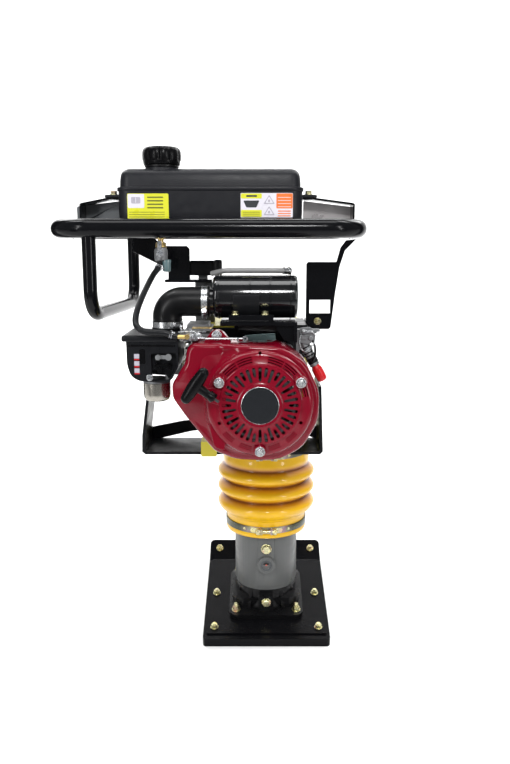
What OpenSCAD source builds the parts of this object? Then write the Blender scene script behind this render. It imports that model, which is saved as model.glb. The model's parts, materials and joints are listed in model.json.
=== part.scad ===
// Jumping jack rammer: a steel shoe, a leg with a spring ram inside a bellows,
// a crankcase with clutch and crank gear, a small petrol engine, and a handle
// loop that carries the fuel tank. The shoe lies level; everything above the
// foot is built upright about the ram's axis and then leaned forward.

/* [Stance] */
// Forward lean of the leg, degrees
lean = 12.2; // [12:0.1:12.4]

/* [Shoe] */
// Width of the shoe
shoe_w = 288; // [284:1:290]
// Distance from the leg axis back to the heel
heel_y = 149; // [146:1:151]
// Thickness of the sole
sole_t = 21; // [20:1:22]
// Rise of the turned-up toe, degrees
toe_angle = 21; // [20:1:22]

/* [Leg and ram] */
// Outer radius of the leg cylinder
leg_r = 73; // [72:1:74]
// Height of the leg's bottom edge along the axis
leg_z = 69; // [68:1:70]
// Radius of the bellows over its ridges
ridge_r = 113; // [111:1:115]
// Outer radius of the spring cylinder
ram_r = 42; // [41.5:0.5:42]
// Half of the crank's stroke
crank_throw = 17; // [15:1:17]

/* [Drive] */
// Engine crankshaft position across the machine
crank_x = -17; // [-17:1:-17]
// Engine crankshaft height along the axis
crank_z = 580; // [580:1:580]
// Gear module
gear_m = 2; // [2:1:2]
// Teeth on the crank gear
gear_n = 70; // [70:1:70]
// Teeth on the pinion
pinion_n = 13; // [13:1:13]

/* [Engine] */
// Front of the recoil starter, in front of the ram axis
recoil_y = 400; // [398:1:402]
// Radius of the recoil starter cover
recoil_r = 97; // [95:1:98]

/* [Handle] */
// Outer diameter of the handle tube
rail_d = 38; // [36:1:40]
// Height of the handle loop's centre
rail_z = 894.5; // [890:0.5:900]
// Left and right ends of the loop's centre line
rail_x0 = -428; // [-432:1:-424]
rail_x1 = 186; // [182:1:190]
// Half of the loop's depth
rail_y = 190; // [185:1:195]

/* [Tank] */
// Left and right ends of the tank
tank_x0 = -311; // [-313:1:-308]
tank_x1 = 73; // [70:1:75]
// Half of the tank's depth
tank_y = 120; // [115:1:122]
// Top of the tank
tank_z = 1018; // [1014:1:1020]

/* [Hidden] */
$fn = 64;
// Fuel hose outer diameter and its route, from the fuel cock to the carburettor
hose_d = 12;
hose_route = [[-220, -151, 829], [-221, -153, 822], [-225, -164, 813], [-231, -190, 801],
  [-240, -230, 776], [-246, -270, 753], [-248, -305, 734], [-245, -330, 720], [-238, -341, 712],
  [-229, -343.5, 707.5], [-218, -344, 705.5], [-205, -344, 705], [-193, -344, 704.5],
  [-183, -344, 702], [-175, -343.5, 699], [-168, -343, 698]];
// Crank gear centre, below and right of the engine shaft
pitch_sum = gear_m * (gear_n + pinion_n) / 2;
gear_z = crank_z - sqrt(pitch_sum * pitch_sum - crank_x * crank_x);
mesh_angle = atan2(crank_z - gear_z, crank_x);
wrist_z = 398;
ram_top = 288;
leg_top = 229;
top_plate_w = shoe_w - 15;
toe_bend_y = 142;
plate_t = 4;
bolt_x = 119;
bore_gap = 0.05;
cover_back = 255;
cover_front = 370;
can_r = 42;
can_y = -222;
can_z = 762;
elbow_x = -198;
elbow_y = -232;
elbow_z = 753;
elbow_r = 29;
box_y0 = -330;

// ---- shared shapes ----

// Puts upright geometry on the leaning ram axis
module leaned() { rotate([-lean, 0, 0]) children(); }

// Extrudes a profile drawn in (x, z) from y0 to y1
module slab(y0, y1) {
  translate([0, y1, 0]) rotate([90, 0, 0]) linear_extrude(height = y1 - y0) children();
}

// Extrudes a profile drawn in (y, z) from x0 to x1
module slab_x(x0, x1) {
  translate([x0, 0, 0]) rotate([90, 0, 90]) linear_extrude(height = x1 - x0) children();
}

// Cylinder along y from y0 to y1
module rod_y(x, z, r, y0, y1) {
  translate([x, y1, z]) rotate([90, 0, 0]) cylinder(r = r, h = y1 - y0);
}

// Cylinder along x from x0 to x1
module rod_x(y, z, r, x0, x1) {
  translate([x0, y, z]) rotate([0, 90, 0]) cylinder(r = r, h = x1 - x0);
}

// Plain ring standing on z0
module ring(r_in, r_out, z0, z1) {
  difference() {
    translate([0, 0, z0]) cylinder(r = r_out, h = z1 - z0);
    translate([0, 0, z0 - 1]) cylinder(r = r_in, h = z1 - z0 + 2);
  }
}

// Box between two corners
module block(a, b) { translate(a) cube(b - a); }

// Rectangle with round corners, as one outline
module round_rect(x0, x1, y0, y1, r) {
  translate([x0 + r, y0]) square([x1 - x0 - 2 * r, y1 - y0]);
  translate([x0, y0 + r]) square([x1 - x0, y1 - y0 - 2 * r]);
  for (x = [x0 + r, x1 - r], y = [y0 + r, y1 - r]) translate([x, y]) circle(r = r);
}

// Corner points of an outline with each corner rounded by its own radius
function turned(p, i) = p[(i + len(p)) % len(p)];
function unit(v) = v / norm(v);
function corner(a, b, c, r, n = 6) =
  let (u = unit(a - b), w = unit(c - b), half = acos(u * w) / 2,
       m = unit(u + w), o = b + m * r / sin(half),
       s = b + u * r / tan(half) - o, e = b + w * r / tan(half) - o,
       a0 = atan2(s[1], s[0]), d0 = atan2(e[1], e[0]) - a0,
       d = d0 > 180 ? d0 - 360 : d0 < -180 ? d0 + 360 : d0)
  [for (k = [0:n]) o + r * [cos(a0 + d * k / n), sin(a0 + d * k / n)]];
function rounded(p, r) =
  [for (i = [0:len(p) - 1]) each corner(turned(p, i - 1), p[i], turned(p, i + 1), r)];

// Hexagon head with a washer face, standing on z = 0
module hex_head(af, h, washer_r) {
  cylinder(r = washer_r, h = 2);
  translate([0, 0, 2]) cylinder(r = af / sqrt(3), h = h - 2, $fn = 6);
}

// Points the children's z axis toward the front
module facing_front(p) { translate(p) rotate([90, 0, 0]) children(); }

// Spur gear outline with straight-sided teeth; tooth 0 points along +x
module gear_outline(n) {
  pr = gear_m * n / 2;
  step = 360 / n;
  function at(r, half) = asin(half / r);
  polygon([for (i = [0:n - 1], k = [0:3])
    let (r = (k == 0 || k == 3) ? pr - 2.5 : pr + 1.5,
         half = (k == 0 || k == 3) ? 1.75 : 0.65,
         a = i * step + (k < 2 ? -1 : 1) * at(r, half))
    r * [cos(a), sin(a)]]);
}

// Quarter bend of a tube in the plane of its local x and y
module bend(r, d, angle = 90) { rotate_extrude(angle = angle) translate([r, 0]) circle(d = d); }

// Solid swept along points with an even number of sides
function along(p, i) = unit(p[min(i + 1, len(p) - 1)] - p[max(i - 1, 0)]);
module swept(p, r, sides = 8) {
  pts = [for (i = [0:len(p) - 1])
    let (t = along(p, i), u = unit(cross(t, [0.3, 0.2, 1])), w = cross(t, u))
    each [for (k = [0:sides - 1]) p[i] + r * (cos(k * 360 / sides) * u + sin(k * 360 / sides) * w)]];
  n = len(p);
  walls = [for (i = [0:n - 2], k = [0:sides - 1])
    let (a = i * sides + k, b = i * sides + (k + 1) % sides)
    each [[a, b, b + sides], [a, b + sides, a + sides]]];
  ends = [[for (k = [0:sides - 1]) sides - 1 - k], [for (k = [0:sides - 1]) (n - 1) * sides + k]];
  polyhedron(points = pts, faces = concat(walls, ends), convexity = 4);
}

// ---- shoe and foot ----

// Side outline of a layer of the shoe from z0 to z1 above the floor
module shoe_profile(y0, z0, z1, run_y) {
  shift0 = z0 * tan(toe_angle / 2);
  shift1 = z1 * tan(toe_angle / 2);
  up = [cos(toe_angle), sin(toe_angle)];
  side = [-sin(toe_angle), cos(toe_angle)];
  bend0 = [toe_bend_y + 4 - shift0, z0];
  bend1 = [toe_bend_y + 4 - shift1, z1];
  tip0 = [toe_bend_y + 4, 0] + up * run_y + side * z0;
  tip1 = [toe_bend_y + 4, 0] + up * run_y + side * z1;
  polygon([[y0, z0], bend0, tip0, tip1, bend1, [y0, z1]]);
}

module shoe_bolt_places() {
  for (x = [-bolt_x, bolt_x]) {
    for (y = [-114, 7]) translate([x, y, 0]) children();
    translate([x, toe_bend_y + 4, 0]) rotate([toe_angle, 0, 0]) translate([0, 40, 0]) children();
  }
}

module shoe_sole() {
  color("#1b1b1d") difference() {
    intersection() {
      slab_x(-shoe_w / 2, shoe_w / 2) shoe_profile(-heel_y, 0, sole_t, 70);
      linear_extrude(height = 90) round_rect(-shoe_w / 2, shoe_w / 2, -heel_y, 240, 9);
    }
    shoe_bolt_places() translate([0, 0, 8]) cylinder(r = 4.1, h = 40);
  }
}

module shoe_top_plate() {
  color("#1b1b1d") difference() {
    slab_x(-top_plate_w / 2, top_plate_w / 2) shoe_profile(-134, sole_t, sole_t + plate_t, 66);
    shoe_bolt_places() translate([0, 0, 8]) cylinder(r = 4.1, h = 60);
    for (x = [-70, 70], y = [-68, 68]) translate([x, y, 0]) cylinder(r = 6.1, h = 60);
  }
}

module shoe_bolts() {
  color("#c9b56a") shoe_bolt_places() {
    translate([0, 0, 8]) cylinder(r = 4, h = sole_t + plate_t + 12 - 8);
    translate([0, 0, sole_t + plate_t]) difference() {
      cylinder(r = 9, h = 1.6);
      translate([0, 0, -1]) cylinder(r = 4.1, h = 4);
    }
    translate([0, 0, sole_t + plate_t + 1.6]) difference() {
      cylinder(r = 7.5, h = 6.5, $fn = 6);
      translate([0, 0, -1]) cylinder(r = 4.1, h = 9);
    }
  }
}

module foot() {
  base_z = sole_t + plate_t;
  color("#161617") difference() {
    union() {
      translate([0, 0, base_z]) linear_extrude(height = 12) round_rect(-86, 86, -87, 87, 20);
      intersection() {
        leaned() cylinder(r = 71, h = leg_z);
        block([-90, -90, base_z], [90, 110, 100]);
      }
      translate([0, 0, base_z]) linear_extrude(height = 37) round_rect(-79, 79, -58, 84, 26);
      intersection() {
        leaned() for (a = [0:30:150]) rotate([0, 0, a]) slab(-4, 4)
          polygon([[-80, -20], [80, -20], [80, 34], [70, leg_z], [-70, leg_z], [-80, 34]]);
        block([-84, -85, base_z], [84, 85, 100]);
      }
      block([-16, -78, base_z], [16, -50, 79]);
    }
    for (x = [-70, 70], y = [-68, 68]) translate([x, y, 0]) cylinder(r = 6.1, h = 200);
    for (x = [-70, 70], y = [-68, 68]) translate([x, y, base_z + 12]) cylinder(r = 16, h = 200);
    facing_front([0, -56, 67]) cylinder(r = 6.1, h = 60);
    leaned() translate([0, 0, leg_z]) cylinder(r = 200, h = 100);
  }
}

module leg_bolts() {
  flange_top = sole_t + plate_t + 12;
  color("#c9b56a") {
    for (x = [-70, 70], y = [-68, 68]) translate([x, y, 0]) {
      translate([0, 0, sole_t]) cylinder(r = 6, h = 35);
      difference() {
        translate([0, 0, flange_top]) cylinder(r = 11, h = 2);
        cylinder(r = 6.1, h = 100);
      }
      difference() {
        translate([0, 0, flange_top + 2]) cylinder(r = 9.2, h = 9, $fn = 6);
        cylinder(r = 6.1, h = 100);
      }
    }
    facing_front([0, -58, 67]) cylinder(r = 6, h = 20);
    facing_front([0, -78, 67]) hex_head(18, 8, 10.8);
    leaned() facing_front([0, -74.2, 172]) hex_head(19, 9, 12);
  }
}

module leg_cylinder() {
  color("#8f8f92") leaned() difference() {
    union() {
      translate([0, 0, leg_z]) cylinder(r = leg_r - 3, h = 12);
      translate([0, 0, leg_z + 10]) cylinder(r = leg_r, h = leg_top - leg_z - 10);
      translate([0, 0, 206]) cylinder(r1 = leg_r, r2 = 88.4, h = 8);
      translate([0, 0, 214]) cylinder(r = 88.4, h = leg_top - 214);
      block([-18, -74.2, 146], [18, -60, 208]);
      rod_y(0, 133, 18.5, -80, -60);
    }
    translate([0, 0, leg_z + 12]) cylinder(r = 60, h = 300);
    rod_y(0, 133, 13, -90, -72);
  }
}

module sight_glass() { color("#5a6a70") leaned() rod_y(0, 133, 12.9, -78.5, -72); }

// ---- ram ----

module spring_cylinder() {
  z0 = leg_z + 12;
  color("#9a9ca0") leaned() difference() {
    union() {
      translate([0, 0, z0]) cylinder(r = 57, h = 10);
      translate([0, 0, z0]) cylinder(r = ram_r, h = ram_top - z0);
    }
    translate([0, 0, z0 + 10]) cylinder(r = 35, h = 300);
  }
}

module spring_cap() {
  color("#7d7f83") leaned() difference() {
    union() {
      translate([0, 0, ram_top]) cylinder(r = ram_r - 1, h = 12);
      translate([0, 0, ram_top - 8]) cylinder(r = 34.95, h = 8);
    }
    translate([0, 0, ram_top - 20]) cylinder(r = 12 + bore_gap, h = 60);
  }
}

// Closed-form helix as a stack of short tube lengths
function helix(r, z0, z1, turns, n) =
  [for (i = [0:n]) let (a = i * 360 * turns / n) [r * cos(a), r * sin(a), z0 + (z1 - z0) * i / n]];

module lower_spring() { color("#b9bcc2") leaned() swept(helix(24, 96, 175, 5, 50), 4); }

module upper_spring() { color("#b9bcc2") leaned() swept(helix(24, 205, 275, 4.5, 45), 4); }

module bellows() {
  skin = 3.5;
  outer = [[92.5, 205], [92.5, 246], [97, 251], [110, 262], [ridge_r, 270], [111, 278],
    [102, 288.5], [111, 299], [ridge_r, 307], [111, 315], [102, 325.5], [111, 336],
    [ridge_r, 344], [110, 353], [100, 362], [98, 366], [98, 407]];
  inner = [for (i = [len(outer) - 1:-1:0]) outer[i] - [skin, 0]];
  color("#d9a21c") leaned() rotate_extrude() polygon(concat(outer, inner));
}

// Band clamp with a screw lug at the front
module band(r, z0, z1) {
  ring(r, r + 2, z0, z1);
  block([-14, -r - 12, z0 + 1], [-9, -r + 0.5, z1 - 1]);
  block([9, -r - 12, z0 + 1], [14, -r + 0.5, z1 - 1]);
  rod_x(-r - 7, (z0 + z1) / 2, 3, -20, 20);
}

module lower_band_clamp() { color("#b8a878") leaned() band(92.7, 217, 232); }

module upper_band_clamp() { color("#b8a878") leaned() band(98.2, 392, 405); }

module guide_cylinder() {
  color("#9a9ca0") leaned() difference() {
    translate([0, 0, 200]) cylinder(r = 50, h = 210);
    translate([0, 0, 199]) cylinder(r = ram_r + bore_gap, h = 300);
  }
}

module ram_piston() {
  color("#a6a8ad") leaned() {
    translate([0, 0, 180]) cylinder(r = 35 - bore_gap, h = 20);
    translate([0, 0, 200]) cylinder(r = 12, h = 139);
    translate([0, 0, 338]) intersection() {
      cylinder(r = 30, h = 10);
      block([-20, -19, 0], [20, 19, 10]);
    }
    for (s = [-1, 1]) difference() {
      block([-14, s * 15 - 4, 348], [14, s * 15 + 4, 414]);
      rod_y(0, wrist_z, 8, -40, 40);
    }
  }
}

// ---- crankcase and drive ----

module case_outline() {
  polygon(rounded([[-116, 408], [-118, 640], [-140, 668], [-140, 692],
    [83, 692], [83, 640], [100, 520], [92, 450], [76, 408]], 8));
}

module crankcase() {
  color("#d8b030") leaned() difference() {
    union() {
      slab(-108, 86) case_outline();
      translate([0, 0, 384]) cylinder(r = 93.8, h = 28);
      for (x = [-60, 0, 50]) slab(-100, 80) translate([x - 3, 690]) square([6, 3]);
      block([-136, -227, 461], [-104, -107, 468]);
      slab(-227, -222.4) polygon(rounded([[-136, 437], [-136, 468], [-104, 468], [-104, 437]], 3));
    }
    rod_y(crank_x, crank_z, 56, -120, -72);
    rod_y(0, gear_z, 80, -52, 90);
    rod_y(crank_x, crank_z, 40, -52, 90);
    rod_y(0, gear_z, 26, -80, 0);
    rod_y(crank_x, crank_z, 21, -80, 0);
    translate([0, 0, 360]) cylinder(r = 50 + bore_gap, h = 50);
    translate([0, 0, 360]) cylinder(r = 43, h = 120);
  }
}

module crankcase_cover() {
  color("#d8b030") leaned() difference() {
    union() {
      slab(86, 98) polygon(rounded([[-96, 414], [-100, 620], [66, 620], [94, 520], [88, 414]], 18));
      rod_y(0, gear_z, 46, 98, 106);
    }
    for (p = [[-78, 428], [72, 428], [-88, 510], [84, 508], [-86, 606], [54, 606]])
      rod_y(p[0], p[1], 4.1, 80, 110);
  }
}

module bearing(r_in, r_out, y0, y1) {
  mid = (r_in + r_out) / 2;
  difference() {
    rod_y(0, 0, r_out, y0, y1);
    rod_y(0, 0, mid + 3, y0 - 1, y0 + 2);
    rod_y(0, 0, r_in, y0 - 2, y1 + 2);
  }
  difference() {
    rod_y(0, 0, mid - 2, y0, y0 + 2);
    rod_y(0, 0, r_in, y0 - 2, y1 + 2);
  }
}

module crank_bearings() {
  color("#c4c7cc") leaned() {
    translate([0, 0, gear_z]) bearing(12.5 + bore_gap, 25.98, -70, -55);
    translate([crank_x, 0, crank_z]) bearing(10 + bore_gap, 20.98, -70, -56);
  }
}

module crank_gear() {
  color("#8d9096") leaned() translate([0, 0, gear_z]) {
    slab(-48, -28) rotate(mesh_angle) gear_outline(gear_n);
    rod_y(0, 0, 12.5, -68, -48);
    rod_y(0, 0, 36, -28, -14);
    rod_y(0, crank_throw, 12, -14, 12);
  }
}

module connecting_rod() {
  big_z = gear_z + crank_throw;
  eye_z = wrist_z + crank_throw;
  color("#a2a5aa") leaned() difference() {
    union() {
      rod_y(0, big_z, 22, -10, 10);
      rod_y(0, eye_z, 14, -10, 10);
      block([-8, -7, eye_z], [8, 7, big_z]);
    }
    rod_y(0, big_z, 12 + bore_gap, -20, 20);
  }
}

module clutch_drum() {
  color("#7f8288") leaned() translate([crank_x, 0, crank_z]) {
    difference() {
      rod_y(0, 0, 51, -105, -76);
      rod_y(0, 0, 47, -106, -80);
    }
    rod_y(0, 0, 10, -76, -26);
    slab(-47, -29) rotate(mesh_angle + 180 + 180 / pinion_n) gear_outline(pinion_n);
  }
}

module clutch_hub() {
  color("#6f7277") leaned() translate([crank_x, 0, crank_z]) difference() {
    union() {
      rod_y(0, 0, 20, -104, -84);
      block([-29, -102, -7], [29, -86, 7]);
    }
    rod_y(0, 0, 11, -110, -80);
  }
}

// Curved clutch shoe on one side of the hub, s = -1 or 1
module clutch_shoe(s) {
  leaned() translate([crank_x, 0, crank_z]) intersection() {
    difference() {
      rod_y(0, 0, 45, -102, -86);
      rod_y(0, 0, 30, -110, -80);
    }
    slab(-104, -84) polygon([[s * 12, -16], [s * 60, -48], [s * 60, 48], [s * 12, 16]]);
  }
}

module clutch_shoe_left() { color("#55575c") clutch_shoe(-1); }

module clutch_shoe_right() { color("#55575c") clutch_shoe(1); }

module crankshaft() {
  color("#b4b7bc") leaned() translate([crank_x, 0, crank_z]) {
    rod_y(0, 0, 11, -104, -84);
    rod_y(0, 0, 17.5, -260, -104);
    rod_y(0, 0, 12, -352, -260);
    rod_y(0, 0, 44, -205, -175);
  }
}

module flywheel() {
  color("#8b8e93") leaned() translate([crank_x, 0, crank_z]) difference() {
    union() {
      rod_y(0, 0, 72, -300, -280);
      rod_y(0, 0, 26, -330, -300);
      for (a = [0:24:359]) rotate([0, a, 0]) block([40, -322, -1.5], [70, -300, 1.5]);
    }
    rod_y(0, 0, 12, -400, -200);
  }
}

// ---- engine ----

module engine_block() {
  color("#7e8084") leaned() difference() {
    union() {
      slab(-255, -126) polygon(rounded([[-112, 500], [-104, 655], [52, 655], [66, 620],
        [66, 500], [44, 478], [-90, 478]], 10));
      rod_y(crank_x, crank_z, 66, -126, -108.2);
      slab(-250, -140) polygon([[-100, 470], [60, 470], [60, 480], [-100, 480]]);
    }
    rod_y(crank_x, crank_z, 17.5 + bore_gap, -300, -100);
    rod_y(crank_x, crank_z, 46, -208, -172);
  }
}

module cylinder_head() {
  color("#8a8c90") leaned() {
    block([-156, -236, 606], [-112.2, -150, 690]);
    for (z = [600:12:696]) block([-163, -244, z], [-112.2, -142, z + 4]);
    block([-160, -232, 698], [-118, -154, 708]);
  }
}

module spark_plug() {
  color("#d8d4c8") leaned() {
    rod_x(-128, 640, 7, -160, -118);
    rod_x(-128, 640, 10, -178, -160);
  }
}

module muffler() {
  color("#5c5e62") leaned() difference() {
    slab(-118, -8) polygon(rounded([[-222, 588], [-222, 676], [-182, 676], [-182, 588]], 12));
    slab(-112, -14) polygon(rounded([[-219, 591], [-219, 673], [-185, 673], [-185, 591]], 9));
    for (x = [-216, -204, -192]) rod_y(x, 632, 3, -130, -100);
  }
}

module cover_outline() {
  polygon(rounded([[-150, 685], [-154, 650], [-181, 606], [-180, 580], [-156, 546],
    [-102, 482], [-66, 470], [20, 470], [62, 493], [90, 545], [91, 600], [66, 652],
    [26, 680], [-60, 685]], 16));
}

module fan_cover() {
  color("#a3132a") leaned() difference() {
    slab(-cover_front, -cover_back) cover_outline();
    slab(-cover_front + 4, -cover_back + 1) offset(delta = -4) cover_outline();
    rod_y(crank_x, crank_z, 80, -400, -cover_front + 10);
  }
}

module recoil_cover() {
  hub = 36;
  color("#a3132a") leaned() translate([crank_x, 0, crank_z]) difference() {
    union() {
      rod_y(0, 0, recoil_r, -388, -cover_front);
      rod_y(0, 0, recoil_r - 9, -recoil_y, -388);
      block([-104, -392, -6], [-70, -cover_front, 22]);
    }
    rod_y(0, 0, recoil_r - 12, -recoil_y + 3, -cover_front + 1);
    for (a = [0:15:359]) rotate([0, a, 0]) block([hub + 10, -410, -2.4], [hub + 30, -380, 2.4]);
  }
}

module starter_pulley() {
  color("#2a2b2e") leaned() translate([crank_x, 0, crank_z]) difference() {
    rod_y(0, 0, 40, -392, -376);
    rod_y(0, 0, 34, -380, -375);
  }
}

// T-grip lying across the cover, its stem pointing into the rope eye
module starter_grip() {
  color("#17181a") leaned() {
    hull() {
      translate([-116, -413, 641]) sphere(r = 12.5, $fn = 20);
      translate([-147, -413, 597]) sphere(r = 12.5, $fn = 20);
    }
    translate([-132, -413, 620]) rotate([0, 126, 0]) cylinder(r = 8.5, h = 41);
  }
}

module cover_bolts() {
  color("#c8cace") leaned() {
    for (a = [30, 150, 270]) facing_front([crank_x + 84 * cos(a), -recoil_y, crank_z + 84 * sin(a)])
      hex_head(11, 7, 9);
    facing_front([-97, -322, 697]) hex_head(12, 8, 9);
  }
}

// Yellow-zinc screws of the brackets, covers and tank
module zinc_bolts() {
  color("#c2a24c") leaned() {
    for (x = [-64, -7]) translate([x, -276, 731.2]) hex_head(10, 7, 7.5);
    facing_front([111, -64.2, 698]) hex_head(10, 7, 8);
    for (x = [-327, 88]) translate([x, -60, 966.2]) hex_head(12, 9, 9);
    for (p = [[-78, 428], [72, 428], [-88, 510], [84, 508], [-86, 606], [54, 606]])
      translate([p[0], 98.2, p[1]]) rotate([-90, 0, 0]) hex_head(12, 8, 9);
  }
}

module carburettor() {
  color("#9c9ea2") leaned() {
    rod_y(-214, 604, 26, -317, -263);
    translate([-214, -290, 570]) cylinder(r = 26, h = 30);
    translate([-214, -290, 567]) cylinder(r = 10, h = 4);
    block([-196, -304, 610], [-183, -262, 650]);
    block([-165.4, -330, 687], [-132, -254, 702]);
    rod_x(-343, 697, 4, -166, -150);
    rod_y(-150, 697, 5, -348, -329);
  }
}

module intake_box() {
  color("#232428") leaned() difference() {
    union() {
      slab(box_y0, -205) polygon(rounded([[-266, 698], [-264, 640], [-243, 612], [-184, 608],
        [-168, 638], [-168, 698]], 6));
      slab(box_y0 - 4, -201) round_rect(-273, -166, 686, 698, 5);
      translate([elbow_x, elbow_y, 690]) cylinder(r = 25, h = 40);
    }
    slab(box_y0 + 4, -209) polygon([[-262, 694], [-259, 642], [-240, 616], [-187, 612],
      [-172, 640], [-172, 694]]);
    translate([elbow_x, elbow_y, 680]) cylinder(r = 21, h = 60);
    rod_y(-214, 604, 26.4, -320, -250);
    translate([-214, -290, 550]) cylinder(r = 26.4, h = 70);
    block([-198, -320, 606], [-160, -250, 652]);
  }
}

// Small lever on a pivot at p, its arm toward direction a
module lever(p, a, arm) {
  facing_front(p) {
    cylinder(r = 6, h = 6);
    rotate(a) block([0, -3.5, 0], [arm, 3.5, 4]);
    rotate(a) translate([arm, 0, 0]) cylinder(r = 5, h = 9);
  }
}

module choke_lever() { color("#c9ccd1") leaned() lever([-186, box_y0 - 0.4, 658], 180, 19); }

module fuel_valve_lever() { color("#55575c") leaned() lever([-186, box_y0 - 0.4, 633], 180, 16); }

// Throttle lever pivots on the block behind the cover's top edge
module throttle_lever() {
  color("#3c4648") leaned() {
    rod_y(-10, 693, 7, -330, -322);
    block([-44, -328, 689], [-10, -324, 697]);
    block([-10, -328, 689], [12, -324, 697]);
    rod_y(-44, 693, 3, -336, -322);
  }
}

module throttle_rod() {
  color("#c9ccd1") leaned() {
    rod_x(-340, 693, 1.8, -118, -46);
    difference() {
      rod_y(-44, 693, 5, -342, -336.5);
      rod_y(-44, 693, 2, -350, -330);
    }
  }
}

module switch_bracket() {
  color("#6c6e72") leaned() {
    block([54.6, -254.4, 652], [60, -228, 700]);
    block([54.6, -254.4, 696], [100, -228, 700]);
    block([66.6, -254.4, 657], [86, -234, 668]);
    block([59.8, -254.4, 661], [70, -234, 668]);
    translate([67, -250, 676]) rotate([0, 151.8, 0]) difference() {
      cylinder(r = 10, h = 52);
      translate([0, 0, 26]) cylinder(r = 8.3, h = 40);
    }
  }
}

module stop_button() {
  color("#c8232c") leaned() translate([67, -250, 676]) rotate([0, 151.8, 0])
    translate([0, 0, 31]) cylinder(r = 8, h = 53);
}

// ---- air intake ----

module air_canister() {
  color("#1a1b1e") leaned() difference() {
    union() {
      rod_x(can_y, can_z, can_r, -108, 57);
      rod_x(elbow_y, elbow_z, 25, -146, -100);
      rod_x(can_y, can_z, can_r + 1, -37, 3);
    }
    rod_x(can_y, can_z, can_r - 3, -104, 53);
    rod_x(elbow_y, elbow_z, 21, -150, -100);
    rod_x(can_y, can_z, 12, 50, 60);
  }
}

module canister_bracket() {
  color("#1d1e20") leaned() difference() {
    union() {
      slab_x(-76, 9) polygon([[-276, 717], [-266, 731], [-272, 731], [-290, 731], [-290, 728],
        [-290, 719], [-276, 719]]);
      block([-92, -292, 711.4], [54, -180, 718.4]);
      block([48, -292, 680], [54, -180, 718.4]);
      slab(-284, -280) polygon([[10, 713], [53, 713], [53, 682], [30, 682]]);
      block([-60, -184, 655.2], [40, -180, 713]);
    }
    for (x = [-64, -7]) translate([x, -276, 700]) cylinder(r = 3, h = 60);
  }
}

module intake_elbow() {
  color("#1c1c1f") leaned() difference() {
    union() {
      translate([elbow_x, elbow_y, 698.4]) cylinder(r = elbow_r, h = elbow_z - 698.4);
      translate([elbow_x, elbow_y, elbow_z]) sphere(r = elbow_r);
      rod_x(elbow_y, elbow_z, elbow_r, elbow_x, -113);
    }
    translate([elbow_x, elbow_y, 690]) cylinder(r = 25.2, h = 41);
    translate([elbow_x, elbow_y, 690]) cylinder(r = 20, h = elbow_z - 690);
    translate([elbow_x, elbow_y, elbow_z]) sphere(r = 20);
    rod_x(elbow_y, elbow_z, 20, elbow_x, -110);
    rod_x(elbow_y, elbow_z, 25.2, -147, -110);
  }
}

module hose_clamps() {
  color("#c5c8cd") leaned() {
    translate([elbow_x, elbow_y, 703]) ring(elbow_r + 0.3, elbow_r + 2, 0, 12);
    block([-182, -270, 704], [-164, -259, 713]);
    difference() {
      rod_x(elbow_y, elbow_z, elbow_r + 2, -130, -118);
      rod_x(elbow_y, elbow_z, elbow_r + 0.3, -140, -110);
    }
    block([-129, -262, 719], [-119, -253, 733]);
  }
}

// ---- frame, guard and handle ----

// Steel strap bent to a U under the engine, with flat bars back to the crankcase
module engine_guard() {
  front = -222;
  back = -108.4;
  color("#2c2d30") leaned() {
    slab(front, back) polygon([[-250, 440], [-257, 446], [-256, 480], [-246, 556], [-240, 556],
      [-250, 480], [-250, 449], [-247, 446], [103, 446], [107, 449], [106, 480], [102, 582],
      [108, 582], [112, 480], [113, 446], [107, 440]]);
    slab(back - plate_t, back) polygon([[-253, 444], [-253, 471], [-183, 485], [-106, 492],
      [-106, 468.4], [-137, 468.4], [-138, 465], [-164, 462], [-240, 444]]);
    slab(back - plate_t, back) polygon([[88, 452], [88, 478], [110, 472], [110, 443]]);
  }
}

// Rail loop: four straight tubes and four corner bends
module rail_loop() {
  r = 70;
  for (y = [-rail_y, rail_y]) rod_x(y, rail_z, rail_d / 2, rail_x0 + r, rail_x1 - r);
  for (x = [rail_x0, rail_x1]) rod_y(x, rail_z, rail_d / 2, -rail_y + r, rail_y - r);
  translate([rail_x1 - r, rail_y - r, rail_z]) bend(r, rail_d);
  translate([rail_x0 + r, rail_y - r, rail_z]) rotate(90) bend(r, rail_d);
  translate([rail_x0 + r, -rail_y + r, rail_z]) rotate(180) bend(r, rail_d);
  translate([rail_x1 - r, -rail_y + r, rail_z]) rotate(270) bend(r, rail_d);
}

// Carrying hoop hanging from the rails near the left end
module carry_hoop() {
  r = 50;
  d = 28;
  z = 721;
  y = rail_y - 4;
  translate([rail_x0 + 85, 0, 0]) rotate(-4.5) {
    for (s = [-1, 1]) translate([0, s * y, z + r]) cylinder(d = d, h = rail_z - 8 - z - r);
    translate([0, y - r, z + r]) rotate([0, 90, 0]) bend(r, d);
    translate([0, -y + r, z + r]) rotate([0, 90, 0]) rotate(-90) bend(r, d);
    rod_y(0, z, d / 2, -y + r, y - r);
  }
}

// Flat-bar strap from one end tube up and over to the tank's lug, s = 1 at the left end
module tank_strap(end_x, knee_x, lug_x, s) {
  foot = rail_z - 2;
  knee = 946;
  top = 959.8;
  slab(-90, -40) polygon([[end_x, foot], [knee_x, foot], [knee_x, knee], [knee_x + s * 4, knee + 3],
    [lug_x - s * 22, top], [lug_x, top], [lug_x, top - plate_t], [lug_x - s * 22, top - plate_t],
    [knee_x + s * plate_t, knee - 1], [knee_x + s * plate_t, foot - plate_t],
    [end_x, foot - plate_t]]);
}

module handle_frame() {
  color("#141517") leaned() {
    rail_loop();
    carry_hoop();
    for (x = [-262, 30]) block([x - 20, -rail_y, 884], [x + 20, rail_y, 892]);
    tank_strap(rail_x0, -395, tank_x0 - 2, 1);
    tank_strap(rail_x1, 184, tank_x1 + 2, -1);
  }
}

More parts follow.
